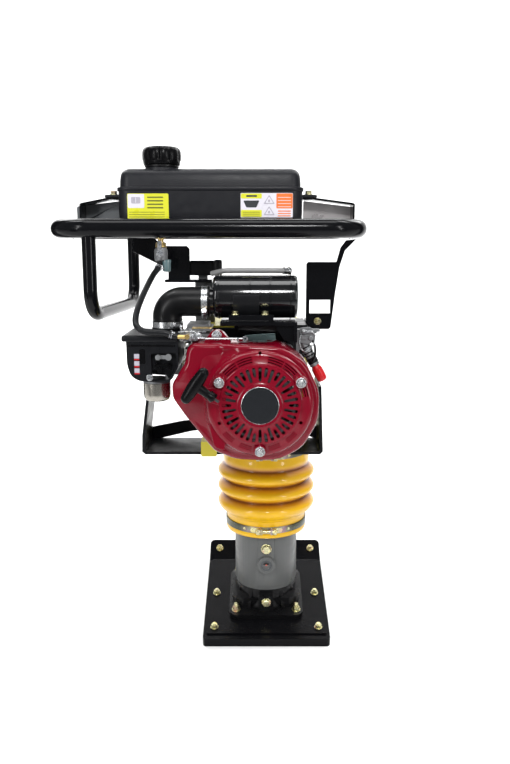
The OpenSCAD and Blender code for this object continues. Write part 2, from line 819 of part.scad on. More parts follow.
module handle_brackets() {
  color("#222326") leaned() difference() {
    union() {
      slab(-64, -60) polygon([[-289, 883.8], [-289, 848], [-243, 825], [-214, 812], [-214, 786],
        [-167, 786], [-167, 854], [-173, 860], [-226, 860], [-250, 883.8]]);
      block([-222, -64, 782], [-119, 20, 788]);
      slab(-64, -60) polygon([[85, 664], [85, 822], [89, 826], [150, 826], [158, 856], [170, 872],
        [192, 874.6], [168, 850], [157, 815], [149, 760], [140, 684], [136, 680], [104, 680],
        [104, 664]]);
      block([85, -64, 664], [91, -10, 700]);
    }
    slab(-70, -50) polygon([[93, 715], [93, 744], [138, 744], [138, 715]]);
    rod_y(111, 698, 4, -70, -50);
  }
}

module rubber_mounts() {
  color("#3a3b3e") leaned() {
    translate([-138, -16, 692.2]) cylinder(r = 22, h = 89.6);
    rod_x(-44, 811, 13.5, -166.8, -112);
    translate([-112, -44, 811]) sphere(r = 13.5);
    block([-150, -50, 788.2], [-130, -38, 800]);
    rod_x(-36, 679, 11, 91.2, 104);
    rod_x(-36, 679, 11, 104, 112);
  }
}

// ---- tank and fuel ----

module tank_outline(inset) {
  round_rect(tank_x0 + inset, tank_x1 - inset, -tank_y + inset, tank_y - inset, 26);
}

module fuel_tank() {
  color("#3b3c40") leaned() difference() {
    union() {
      translate([0, 0, 905]) linear_extrude(height = 71) tank_outline(0);
      translate([0, 0, 976]) linear_extrude(height = tank_z - 976) tank_outline(3);
      for (x = [tank_x0 - 32, tank_x1 - 8]) block([x, -86, 960], [x + 40, -44, 966]);
      translate([-222, -72, 1000]) cylinder(r = 32, h = 22);
    }
    translate([0, 0, 909]) linear_extrude(height = 105) tank_outline(9);
    translate([-222, -72, 1000]) cylinder(r = 26, h = 60);
  }
}

module cap_seal() { color("#2b2c2e") leaned() translate([-222, -72, 0]) ring(27, 36, 1022.2, 1025); }

module fuel_cap() {
  color("#141517") leaned() translate([-222, -72, 0]) difference() {
    union() {
      translate([0, 0, 1025.2]) cylinder(r1 = 32, r2 = 37, h = 9);
      translate([0, 0, 1034]) cylinder(r = 37, h = 30);
      for (a = [0:30:359]) rotate(a) translate([36, 0, 1034]) cylinder(r = 5, h = 28, $fn = 24);
    }
    translate([0, 0, 1020]) cylinder(r = 29, h = 20);
  }
}

module fuel_cock() {
  color("#cfc8a8") leaned() {
    translate([-218, -150, 866]) cylinder(r = 6, h = 17.8);
    translate([-218, -150, 858]) cylinder(r = 9, h = 9, $fn = 6);
    translate([-218, -150, 830]) cylinder(r = 13, h = 28);
    translate([-207, -150, 808]) cylinder(r = 8, h = 24);
    rod_y(-218, 844, 7, -168, -150);
  }
}

module cock_lever() {
  color("#c9ccd1") leaned() {
    rod_y(-218, 844, 7, -176, -168.3);
    block([-222, -174, 844], [-214, -170, 870]);
  }
}

module fuel_hose() { color("#2a2b2d") leaned() swept(hose_route, hose_d / 2); }

shoe_sole();
shoe_top_plate();
shoe_bolts();
foot();
leg_bolts();
leg_cylinder();
sight_glass();
spring_cylinder();
spring_cap();
lower_spring();
upper_spring();
bellows();
lower_band_clamp();
upper_band_clamp();
guide_cylinder();
ram_piston();
crankcase();
crankcase_cover();
crank_bearings();
crank_gear();
connecting_rod();
clutch_drum();
clutch_hub();
clutch_shoe_left();
clutch_shoe_right();
crankshaft();
flywheel();
engine_block();
cylinder_head();
spark_plug();
muffler();
fan_cover();
recoil_cover();
starter_pulley();
starter_grip();
cover_bolts();
zinc_bolts();
carburettor();
intake_box();
choke_lever();
fuel_valve_lever();
throttle_lever();
throttle_rod();
switch_bracket();
stop_button();
air_canister();
canister_bracket();
intake_elbow();
hose_clamps();
engine_guard();
handle_frame();
handle_brackets();
rubber_mounts();
fuel_tank();
cap_seal();
fuel_cap();
fuel_cock();
cock_lever();
fuel_hose();
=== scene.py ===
"""Looks of the jumping jack rammer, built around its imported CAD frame."""

import json
import math

import bmesh
import bpy
from mathutils import Matrix, Vector


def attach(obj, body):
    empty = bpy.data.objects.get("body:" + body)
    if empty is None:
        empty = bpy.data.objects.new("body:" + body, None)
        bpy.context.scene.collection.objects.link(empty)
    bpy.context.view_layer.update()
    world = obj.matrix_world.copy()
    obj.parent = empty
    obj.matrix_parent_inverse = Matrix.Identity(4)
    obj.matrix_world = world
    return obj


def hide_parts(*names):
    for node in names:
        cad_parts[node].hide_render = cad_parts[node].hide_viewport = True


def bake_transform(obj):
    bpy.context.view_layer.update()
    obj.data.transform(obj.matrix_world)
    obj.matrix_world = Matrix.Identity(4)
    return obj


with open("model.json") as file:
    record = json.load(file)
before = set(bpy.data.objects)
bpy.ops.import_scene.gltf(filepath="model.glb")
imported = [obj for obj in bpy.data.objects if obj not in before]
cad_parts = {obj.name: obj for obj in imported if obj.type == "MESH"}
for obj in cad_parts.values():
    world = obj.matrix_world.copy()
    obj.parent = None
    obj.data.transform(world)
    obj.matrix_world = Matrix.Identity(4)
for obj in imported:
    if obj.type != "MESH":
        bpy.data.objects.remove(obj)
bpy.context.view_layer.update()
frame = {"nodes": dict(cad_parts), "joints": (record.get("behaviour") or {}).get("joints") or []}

# ---- camera: the viewing angle of a person standing in front of the engine ----

CAMERA_AT = (-0.026, -1.477, 1.201)
CAMERA_DOWN = math.radians(22.6)
CAMERA_LENS = 35.15

camera = bpy.data.objects.new("camera", bpy.data.cameras.new("camera"))
camera.location = CAMERA_AT
camera.rotation_euler = (math.pi / 2 - CAMERA_DOWN, 0, 0)
camera.data.lens = CAMERA_LENS
camera.data.sensor_width = 36
camera.data.clip_end = 30
bpy.context.scene.collection.objects.link(camera)
bpy.context.scene.camera = camera

# ---- the leaning frame that everything above the foot is built in ----

ram_axis = next(Vector(j["axis"]) for j in frame["joints"] if j["name"] == "ram_stroke")
LEAN = Matrix.Rotation(-math.atan2(ram_axis.y, ram_axis.z), 4, "X")
UPRIGHT = LEAN.inverted()
FRONT = Vector((0, -1, 0))
UP = Vector((0, 0, 1))
RIGHT = Vector((1, 0, 0))


def span(node):
    """Lowest and highest corners of a CAD node in the upright frame, in metres."""
    co = [UPRIGHT @ v.co for v in frame["nodes"][node].data.vertices]
    low = Vector(min(c[i] for c in co) for i in range(3))
    high = Vector(max(c[i] for c in co) for i in range(3))
    return low, high


def middle(node):
    """Centre of a CAD node's box in the upright frame."""
    low, high = span(node)
    return (low + high) / 2


# Places that several pieces share, in the upright frame, in metres.

CAP_AT = (-0.222, -0.072, 0)
BOWL_X, BOWL_Y = -0.214, -0.29
ELBOW_X, ELBOW_Y, NECK_Z = -0.198, -0.232, 0.753
RAIL_Z, RAIL_R = 0.8945, 0.019
SCREW_ANGLES, SCREW_CIRCLE = (30, 150, 270), 0.084

# ---- materials ----


def new_material(name):
    """Material with its node tree and shader."""
    m = bpy.data.materials.new(name)
    m.use_nodes = True
    tree = m.node_tree
    return m, tree, tree.nodes["Principled BSDF"]


def settings(node, **values):
    """Sets a node's inputs by name, with _ for each space."""
    for key, value in values.items():
        node.inputs[key.replace("_", " ")].default_value = value


def noise(tree, scale, detail=4.0, stretch=(1, 1, 1)):
    """Noise over the object's own coordinates."""
    place = tree.nodes.new("ShaderNodeTexCoord")
    mapping = tree.nodes.new("ShaderNodeMapping")
    settings(mapping, Scale=stretch)
    tex = tree.nodes.new("ShaderNodeTexNoise")
    settings(tex, Scale=scale, Detail=detail)
    tree.links.new(place.outputs["Object"], mapping.inputs["Vector"])
    tree.links.new(mapping.outputs["Vector"], tex.inputs["Vector"])
    return tex.outputs["Fac"]


def ramp(tree, fac, stops):
    """Colour ramp through (position, colour) stops."""
    node = tree.nodes.new("ShaderNodeValToRGB")
    elements = node.color_ramp.elements
    while len(elements) < len(stops):
        elements.new(0.5)
    for e, (at, color) in zip(elements, stops):
        e.position = at
        e.color = (*color, 1)
    tree.links.new(fac, node.inputs["Fac"])
    return node.outputs["Color"]


def spread(tree, fac, low, high):
    """Noise, which mostly lies between 0.3 and 0.7, stretched over low to high."""
    node = tree.nodes.new("ShaderNodeMapRange")
    settings(node, From_Min=0.3, From_Max=0.7, To_Min=low, To_Max=high)
    tree.links.new(fac, node.inputs["Value"])
    return node.outputs["Result"]


def mixed(tree, fac, a, b, blend="MIX"):
    """Colour a turning into b; a and b are sockets or plain colours."""
    node = tree.nodes.new("ShaderNodeMix")
    node.data_type = "RGBA"
    node.blend_type = blend
    for key, value in (("Factor", fac), ("A", a), ("B", b)):
        if isinstance(value, bpy.types.NodeSocket):
            tree.links.new(value, node.inputs[key])
        else:
            node.inputs[key].default_value = value if key == "Factor" else (*value, 1)
    return node.outputs["Result"]


def bumped(tree, shader, fac, strength, distance):
    """Bump from fac on the shader's normal; distance is in metres."""
    node = tree.nodes.new("ShaderNodeBump")
    settings(node, Strength=strength, Distance=distance)
    tree.links.new(fac, node.inputs["Height"])
    tree.links.new(node.outputs["Normal"], shader.inputs["Normal"])


def shaded(color, share):
    """Colour times share, kept at 1 or below."""
    return tuple(min(1, c * share) for c in color)


def surface(name, color, rough, metal=0.0, coat=0.0, vary=0.06, grain=900, grain_depth=0.00008,
        stretch=(1, 1, 1), patch=14, specular=0.5):
    """A finish whose colour drifts softly, whose gloss is uneven and whose skin has a fine grain."""
    m, tree, shader = new_material(name)
    settings(shader, Metallic=metal, Coat_Weight=coat, Coat_Roughness=0.06, Specular_IOR_Level=specular)
    drift = ramp(tree, noise(tree, patch), [(0.3, shaded(color, 1 - vary)), (0.7, shaded(color, 1 + vary))])
    tree.links.new(drift, shader.inputs["Base Color"])
    uneven = noise(tree, patch * 5, 6, stretch)
    tree.links.new(spread(tree, uneven, rough * 0.85, min(1, rough * 1.2)), shader.inputs["Roughness"])
    bumped(tree, shader, noise(tree, grain, 3, stretch), 0.6, grain_depth)
    return m


def paint(name, color, rough, coat, specular=0.4, grain=240, grain_depth=0.0002, dust=0.35):
    """Sprayed paint: orange peel, fine specks of dust and faint smears in its gloss."""
    m, tree, shader = new_material(name)
    settings(shader, Coat_Weight=coat, Coat_Roughness=0.05, Specular_IOR_Level=specular)
    drift = ramp(tree, noise(tree, 7), [(0.3, shaded(color, 0.94)), (0.7, shaded(color, 1.06))])
    specks = ramp(tree, noise(tree, 650, 2), [(0.66, (0, 0, 0)), (0.74, (dust, dust, dust))])
    pale = tuple(0.55 * c + 0.06 for c in color)
    tree.links.new(mixed(tree, specks, drift, pale), shader.inputs["Base Color"])
    smear = noise(tree, 30, 8, (1, 1, 3))
    tree.links.new(spread(tree, smear, rough * 0.8, rough * 1.3), shader.inputs["Roughness"])
    bumped(tree, shader, noise(tree, grain, 2), 0.35, grain_depth)
    return m


def plating(name, tints, rough):
    """Plated steel whose passivation shifts in tint across the surface."""
    m, tree, shader = new_material(name)
    settings(shader, Metallic=1)
    stops = [(0.32 + 0.36 * i / (len(tints) - 1), t) for i, t in enumerate(tints)]
    tree.links.new(ramp(tree, noise(tree, 60, 3), stops), shader.inputs["Base Color"])
    tree.links.new(spread(tree, noise(tree, 300, 4), rough * 0.8, rough * 1.4), shader.inputs["Roughness"])
    bumped(tree, shader, noise(tree, 700, 3), 0.4, 0.00006)
    return m


def clamp_band():
    """Passivated band: rainbow tints near its screw, going dark olive towards the left and right sides as
    painted shade where the band bends away from the front.
    """
    m, tree, shader = new_material("clamp_band")
    settings(shader, Metallic=0.85)
    place = tree.nodes.new("ShaderNodeTexCoord")
    split = tree.nodes.new("ShaderNodeSeparateXYZ")
    tree.links.new(place.outputs["Object"], split.inputs["Vector"])
    size = tree.nodes.new("ShaderNodeMath")
    size.operation = "ABSOLUTE"
    tree.links.new(split.outputs["X"], size.inputs[0])
    # Painted shade: from 28 to 60 mm either side of the middle the band's colour goes to dark olive, as if
    # the sides were in shade.
    side_shade = tree.nodes.new("ShaderNodeMapRange")
    settings(side_shade, From_Min=0.028, From_Max=0.06)
    tree.links.new(size.outputs[0], side_shade.inputs["Value"])
    tints = ramp(tree, noise(tree, 55, 2), [(0.36, (0.42, 0.36, 0.2)), (0.46, (0.34, 0.36, 0.3)),
        (0.56, (0.42, 0.24, 0.3)), (0.66, (0.3, 0.3, 0.16))])
    color = mixed(tree, side_shade.outputs["Result"], tints, (0.075, 0.08, 0.06))
    tree.links.new(color, shader.inputs["Base Color"])
    tree.links.new(spread(tree, noise(tree, 200, 4), 0.26, 0.42), shader.inputs["Roughness"])
    bumped(tree, shader, noise(tree, 500, 3), 0.4, 0.00006)
    return m


def bellows_rubber():
    """Yellow moulded rubber with painted shade that darkens it down in the folds, and fine specks of dust."""
    m, tree, shader = new_material("bellows_rubber")
    settings(shader, Coat_Weight=0.4, Coat_Roughness=0.08, Specular_IOR_Level=0.3)
    depth = tree.nodes.new("ShaderNodeAttribute")
    depth.attribute_name = "painted_fold_shade"
    # Painted shade: the yellow darkens to near brown with fold depth, standing in for shade down in the
    # folds.
    folds = ramp(tree, depth.outputs["Fac"], [(0.0, (0.68, 0.39, 0.003)), (0.4, (0.58, 0.28, 0.002)),
        (0.75, (0.42, 0.15, 0.002)), (1.0, (0.16, 0.045, 0.001))])
    drift = ramp(tree, noise(tree, 18), [(0.3, (0.93, 0.91, 0.88)), (0.7, (1, 1, 1))])
    shade_and_drift = mixed(tree, 1.0, folds, drift, "MULTIPLY")
    specks = ramp(tree, noise(tree, 420, 2), [(0.68, (0, 0, 0)), (0.76, (0.5, 0.5, 0.5))])
    tree.links.new(mixed(tree, specks, shade_and_drift, (0.5, 0.36, 0.12)), shader.inputs["Base Color"])
    tree.links.new(spread(tree, noise(tree, 60, 6), 0.3, 0.46), shader.inputs["Roughness"])
    bumped(tree, shader, noise(tree, 420, 4), 0.5, 0.00012)
    return m


GLOSS_BLACK = paint("gloss_black", (0.003, 0.0032, 0.004), 0.16, 0.06, 0.12, dust=0.05)
SHOE_BLACK = paint("shoe_black", (0.0035, 0.0035, 0.0042), 0.19, 0.02, 0.06, dust=0.06)
SATIN_BLACK = paint("satin_black", (0.0075, 0.0078, 0.0088), 0.34, 0.03, 0.12, dust=0.08)
CAST_BLACK = paint("cast_black", (0.004, 0.004, 0.0044), 0.3, 0.08, 0.16, 330, 0.0006, 0.08)
CRIMSON = paint("crimson", (0.15, 0.0005, 0.009), 0.2, 0.25, 0.15, dust=0.02)
CASE_YELLOW = paint("case_yellow", (0.5, 0.43, 0.04), 0.42, 0.1, 0.35, 330, 0.0007, 0.3)
LEG_GRAY = paint("leg_gray", (0.098, 0.101, 0.1), 0.34, 0.06, 0.2, 380, 0.00003, 0.06)
CAST_ALUMINIUM = surface("cast_aluminium", (0.2, 0.205, 0.21), 0.5, 0.8, grain=420, grain_depth=0.0005)
BRIGHT = surface("bright_metal", (0.5, 0.51, 0.52), 0.22, 1.0, grain=900, grain_depth=0.00003)
BOWL = surface("bowl_metal", (0.36, 0.34, 0.3), 0.24, 1.0, grain=420, grain_depth=0.00004, stretch=(14, 1, 1),
    vary=0.1)
STEEL = surface("ground_steel", (0.42, 0.43, 0.45), 0.32, 1.0, stretch=(1, 1, 8))
# Bright, blotchy metal finish that paints a reflection onto the right strap gusset.
GUSSET_REFLECTION = surface("gusset_painted_reflection", (0.42, 0.4, 0.4), 0.3, 0.6, vary=0.3, patch=6)
DARK_METAL = surface("dark_metal", (0.09, 0.095, 0.1), 0.4, 0.8)
TEAL_METAL = surface("teal_metal", (0.05, 0.075, 0.075), 0.3, 0.6)
ZINC_YELLOW = plating("zinc_yellow", [(0.6, 0.52, 0.22), (0.66, 0.6, 0.34), (0.5, 0.5, 0.3),
    (0.62, 0.42, 0.3)], 0.26)
ZINC_BRIGHT = plating("zinc_bright", [(0.44, 0.45, 0.46), (0.56, 0.57, 0.58), (0.4, 0.42, 0.45)], 0.26)
CLAMP = clamp_band()
TANK = surface("tank_plastic", (0.009, 0.0094, 0.0118), 0.38, grain=1100, grain_depth=0.00014, vary=0.05,
    specular=0.2)
PLASTIC = surface("black_plastic", (0.0022, 0.0022, 0.0026), 0.26, grain=1300, grain_depth=0.00006,
    specular=0.1)
BOX_PLASTIC = surface("box_plastic", (0.006, 0.0063, 0.0076), 0.32, grain=900, grain_depth=0.00012,
    specular=0.16)
GLOSS_PLASTIC = surface("gloss_plastic", (0.003, 0.0032, 0.004), 0.13, coat=0.4, grain=300,
    grain_depth=0.00003, specular=0.35)
RUBBER = surface("black_rubber", (0.0035, 0.0035, 0.004), 0.32, grain=900, grain_depth=0.0001, specular=0.18)
GRAY_RUBBER = surface("gray_rubber", (0.035, 0.037, 0.038), 0.55, grain=800, grain_depth=0.0002,
    specular=0.35)
HOSE = surface("hose_rubber", (0.006, 0.0064, 0.0075), 0.32, grain=900, grain_depth=0.0001, specular=0.2)
MUFFLER = surface("muffler_paint", (0.05, 0.05, 0.054), 0.6, 0.2, grain=600, grain_depth=0.0003)
RED_PLASTIC = surface("red_plastic", (0.48, 0.008, 0.012), 0.3, specular=0.4)
CERAMIC = surface("ceramic", (0.7, 0.69, 0.64), 0.15, coat=0.5)
BRASS = plating("brass", [(0.5, 0.35, 0.12), (0.65, 0.48, 0.2)], 0.3)
CUP = surface("cup_plastic", (0.09, 0.15, 0.16), 0.2, coat=0.4)
ROPE = surface("starter_rope", (0.02, 0.02, 0.022), 0.8, grain=1800, grain_depth=0.0006)
BRAID = surface("braided_sleeve", (0.2, 0.2, 0.2), 0.5, 0.4, grain=1500, grain_depth=0.0005)
LABEL_YELLOW = surface("label_yellow", (0.62, 0.62, 0.025), 0.3, vary=0.03)
LABEL_WHITE = surface("label_white", (0.66, 0.64, 0.7), 0.3, vary=0.03)
LABEL_GRAY = surface("label_gray", (0.38, 0.36, 0.42), 0.3, vary=0.03)
LABEL_OLIVE = surface("label_olive", (0.12, 0.13, 0.012), 0.35, vary=0.08)
LABEL_ORANGE = surface("label_orange", (0.72, 0.16, 0.03), 0.3, vary=0.05)
LABEL_INK = surface("label_ink", (0.012, 0.016, 0.02), 0.4, vary=0.04)
DISC_BLACK = surface("disc_black", (0.008, 0.009, 0.011), 0.2, coat=0.4, grain=160, grain_depth=0.00001,
    vary=0.1, patch=60, specular=0.35)
LENS = surface("sight_lens", (0.02, 0.016, 0.014), 0.06, coat=1.0)
LENS_RED = surface("sight_float", (0.35, 0.05, 0.03), 0.2, coat=0.6)
BELLOWS = bellows_rubber()


# ---- mesh building ----

EDGE_ANGLE = math.radians(32)
JOIN = 1e-6


def quads(rings, closed=True, cap=True):
    """Vertices and faces that join rings of points one to the next."""
    n = len(rings[0])
    verts = [Vector(p) for ring in rings for p in ring]
    last = n if closed else n - 1
    faces = [(i * n + k, i * n + (k + 1) % n, (i + 1) * n + (k + 1) % n, (i + 1) * n + k)
        for i in range(len(rings) - 1) for k in range(last)]
    if cap:
        faces.append(tuple(range(n - 1, -1, -1)))
        faces.append(tuple((len(rings) - 1) * n + k for k in range(n)))
    return verts, faces


def merge(*shapes):
    """One shape from several (vertices, faces) pairs."""
    verts, faces = [], []
    for v, f in shapes:
        base = len(verts)
        verts.extend(v)
        faces.extend(tuple(i + base for i in face) for face in f)
    return verts, faces


def moved(shape, matrix):
    """Shape with every point through the matrix."""
    return [matrix @ Vector(v) for v in shape[0]], shape[1]


def frame_of(origin, z, x=None):
    """Matrix that stands a shape's z axis along z at origin."""
    z = Vector(z).normalized()
    hint = Vector(x) if x else (RIGHT if abs(z.x) < 0.9 else UP)
    x = (hint - z * hint.dot(z)).normalized()
    y = z.cross(x)
    m = Matrix((x, y, z)).transposed().to_4x4()
    m.translation = Vector(origin)
    return m


def turned(profile, sides=64, origin=(0, 0, 0), axis=UP, wave=None):
    """Solid of revolution of (radius, height) points; wave(angle, height) scales the radius."""
    def at(r, h, k):
        a = 2 * math.pi * k / sides
        q = r * (wave(a, h) if wave else 1)
        return (q * math.cos(a), q * math.sin(a), h)
    rings = [[at(max(r, 1e-5), h, k) for k in range(sides)] for r, h in profile]
    return moved(quads(rings), frame_of(origin, axis))


def filleted(profile, fillets, steps):
    """Open profile with the named inner points rounded; fillets maps index to radius."""
    out = []
    for i, p in enumerate(profile):
        p = Vector(p)
        if i not in fillets:
            out.append(tuple(p))
            continue
        a, b = Vector(profile[i - 1]) - p, Vector(profile[i + 1]) - p
        reach = min(fillets[i], a.length * 0.49, b.length * 0.49)
        s, e = p + a.normalized() * reach, p + b.normalized() * reach
        for k in range(steps + 1):
            t = k / steps
            out.append(tuple(s.lerp(p, t).lerp(p.lerp(e, t), t)))
    return out


def rounded_path(points, radius):
    """Path with each inner corner turned on an arc."""
    steps = 10
    out = [Vector(points[0])]
    for i in range(1, len(points) - 1):
        p = Vector(points[i])
        a, b = (Vector(points[i - 1]) - p), (Vector(points[i + 1]) - p)
        half = a.angle(b) / 2
        reach = min(radius / math.tan(half), a.length * 0.499, b.length * 0.499)
        r = reach * math.tan(half)
        u, w = a.normalized(), b.normalized()
        centre = p + (u + w).normalized() * (r / math.sin(half))
        s, e = p + u * reach - centre, p + w * reach - centre
        turn = s.angle(e)
        axis = s.cross(e)
        for k in range(steps + 1):
            out.append(centre + Matrix.Rotation(turn * k / steps, 3, axis) @ s)
    out.append(Vector(points[-1]))
    return out


def smooth_path(points, per):
    """Catmull-Rom curve through the points."""
    p = [Vector(q) for q in points]
    p = [2 * p[0] - p[1]] + p + [2 * p[-1] - p[-2]]
    out = []
    for i in range(1, len(p) - 2):
        for k in range(per):
            t = k / per
            a, b, c, d = p[i - 1], p[i], p[i + 1], p[i + 2]
            out.append(0.5 * (2 * b + (c - a) * t + (2 * a - 5 * b + 4 * c - d) * t * t
                + (3 * b - a - 3 * c + d) * t ** 3))
    out.append(p[-2])
    return out


def tube(points, radius, sides, closed=False):
    """Round tube along points; radius is a number or a function of the share along it."""
    p = [Vector(q) for q in points]
    n = len(p)
    side, rings = None, []
    for i in range(n):
        if closed:
            t = (p[(i + 1) % n] - p[i - 1]).normalized()
        else:
            t = (p[min(i + 1, n - 1)] - p[max(i - 1, 0)]).normalized()
        if side is None:
            side = t.orthogonal().normalized()
        side = (side - t * side.dot(t)).normalized()
        up = t.cross(side)
        r = radius(i / (n - 1)) if callable(radius) else radius
        rings.append([p[i] + r * (math.cos(a) * side + math.sin(a) * up)
            for a in (2 * math.pi * k / sides for k in range(sides))])
    if not closed:
        return quads(rings)
    verts, faces = quads(rings, cap=False)
    last = (n - 1) * sides
    first = rings[0][0]
    shift = min(range(sides), key=lambda k: (rings[-1][k] - first).length)
    faces += [(last + (k + shift) % sides, last + (k + 1 + shift) % sides, (k + 1) % sides, k)
        for k in range(sides)]
    return verts, faces


def box(low, high):
    """Box between two corners."""
    (a, b, c), (d, e, f) = low, high
    ring = [(a, b), (d, b), (d, e), (a, e)]
    return quads([[(x, y, c) for x, y in ring], [(x, y, f) for x, y in ring]])


def prism(outline, y0, y1):
    """Plate whose outline is drawn in (x, z), from y0 to y1."""
    return quads([[(x, y1, z) for x, z in outline], [(x, y0, z) for x, z in outline]])


def hexagon(af, height, origin, axis, washer=None):
    """Hex head with a chamfered crown, on a round flange."""
    r = af / math.sqrt(3)
    body = [(r, 0.0), (r, height * 0.8), (r * 0.86, height), (0, height)]
    head = turned(body, 6, Vector(origin), axis)
    if not washer:
        return head
    rim = [(washer, 0.0), (washer, height * 0.18), (washer * 0.9, height * 0.28), (0, height * 0.3)]
    return merge(head, turned(rim, 32, Vector(origin), axis))


def coil(centre, axis, radius, length, turns, wire, sides=8):
    """Wire wound about an axis, length long."""
    m = frame_of(centre, axis)
    steps = int(turns * 18)
    path = [m @ Vector((radius * math.cos(2 * math.pi * turns * k / steps),
        radius * math.sin(2 * math.pi * turns * k / steps), length * k / steps)) for k in range(steps + 1)]
    return tube(path, wire, sides)


def cleaned(mesh, weld=0.0):
    """The mesh with its normals outward, and points closer than weld joined."""
    bm = bmesh.new()
    bm.from_mesh(mesh)
    if weld:
        bmesh.ops.remove_doubles(bm, verts=bm.verts, dist=weld)
    bmesh.ops.recalc_face_normals(bm, faces=bm.faces)
    bm.to_mesh(mesh)
    bm.free()
    return mesh


def new_mesh(name, shape, weld=0.0):
    """Mesh of a (vertices, faces) pair."""
    mesh = bpy.data.meshes.new(name)
    mesh.from_pydata([tuple(v) for v in shape[0]], [], shape[1])
    return cleaned(mesh, weld)


def piece(name, shape, material, replaces=(), body="upper_unit", bevel=0, sharp=35, level=False,
        segments=2):
    """Makes a mesh piece, drawn in the upright frame unless level, and puts it on its body."""
    mesh = new_mesh(name, shape)
    if not level:
        mesh.transform(LEAN)
    mesh.shade_smooth()
    mesh.set_sharp_from_angle(angle=math.radians(sharp))
    obj = bpy.data.objects.new(name, mesh)
    bpy.context.scene.collection.objects.link(obj)
    mesh.materials.append(material)
    if bevel:
        round_edges(obj, bevel, segments)
    if body:
        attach(obj, body)
    if replaces:
        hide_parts(*replaces)
    return obj


def round_edges(obj, width, segments=2):
    """Bevels the edges that are sharper than EDGE_ANGLE, and leaves the mesh itself alone."""
    mod = obj.modifiers.new("round_edges", "BEVEL")
    mod.width = width
    mod.segments = segments
    mod.limit_method = "ANGLE"
    mod.angle_limit = EDGE_ANGLE
    mod.harden_normals = True
    mod.use_clamp_overlap = True


def finish_node(node, material, width):
    """Gives a CAD node its finish, and rounds its edges without touching its mesh."""
    obj = frame["nodes"][node]
    obj.data.materials.clear()
    obj.data.materials.append(material)
    if width:
        weld = obj.modifiers.new("weld", "WELD")
        weld.merge_threshold = 0.00002
        flat = obj.modifiers.new("flat", "DECIMATE")
        flat.decimate_type = "DISSOLVE"
        flat.angle_limit = math.radians(1)
        round_edges(obj, width)


def carved(shape, cutter):
    """Shape with the cutter's volume taken out of it."""
    made = []
    for part in (shape, cutter):
        made.append(bpy.data.objects.new("carving", new_mesh("carving", part, JOIN)))
        bpy.context.scene.collection.objects.link(made[-1])
    mod = made[0].modifiers.new("cut", "BOOLEAN")
    mod.operation = "DIFFERENCE"
    mod.solver = "EXACT"
    mod.object = made[1]
    done = made[0].evaluated_get(bpy.context.evaluated_depsgraph_get()).to_mesh()
    out = [v.co.copy() for v in done.vertices], [tuple(p.vertices) for p in done.polygons]
    for obj in made:
        mesh = obj.data
        bpy.data.objects.remove(obj)
        bpy.data.meshes.remove(mesh)
    return out


def smooth_step(t):
    """Eases from 0 to 1."""
    t = max(0, min(1, t))
    return t * t * (3 - 2 * t)


def plate(outline, y0, y1, corner):
    """Plate drawn in (x, z) with rounded corners."""
    n = len(outline)
    flat = []
    for i in range(n):
        a, p, b = (Vector(outline[(i + k) % n]) for k in (-1, 0, 1))
        reach = min(corner, (a - p).length * 0.45, (b - p).length * 0.45)
        s, e = p + (a - p).normalized() * reach, p + (b - p).normalized() * reach
        flat += [tuple(s.lerp(p, k / 5).lerp(p.lerp(e, k / 5), k / 5)) for k in range(6)]
    return prism(flat, y0, y1)


def turned_forward(profile, x, z, sides):
    """Turned part whose heights count toward the front from y = 0."""
    return turned(profile, sides, (x, 0, z), FRONT)


def rounded_slab(x0, x1, y0, y1, corner, levels):
    """Box with rounded plan corners; levels lists (z, inset)."""
    steps = 8
    rings = []
    for z, inset in levels:
        r = max(corner - inset, 0.002)
        ring = []
        for cx, cy, a0 in ((x1, y1, 0), (x0, y1, 90), (x0, y0, 180), (x1, y0, 270)):
            mx = cx - math.copysign(inset + r, cx - (x0 + x1) / 2)
            my = cy - math.copysign(inset + r, cy - (y0 + y1) / 2)
            for k in range(steps + 1):
                a = math.radians(a0 + 90 * k / steps)
                ring.append((mx + r * math.cos(a), my + r * math.sin(a), z))
        rings.append(ring)
    return quads(rings)


def capsule(a, b, radius, sides, swell):
    """Rounded bar from a to b, fuller in the middle by swell."""
    steps = 16
    a, b = Vector(a), Vector(b)
    length = (b - a).length
    profile = [(radius * math.sin(t), -radius * math.cos(t)) for t in (math.pi / 2 * k / 6 for k in range(7))]
    profile += [(radius + swell * math.sin(math.pi * k / steps), length * k / steps) for k in range(1, steps)]
    profile += [(radius * math.cos(t), length + radius * math.sin(t))
        for t in (math.pi / 2 * k / 6 for k in range(7))]
    return turned(profile, sides, a, b - a)


# ---- finishes of the CAD nodes ----

# Every CAD node that no piece stands for, with the width of its rounded edges.

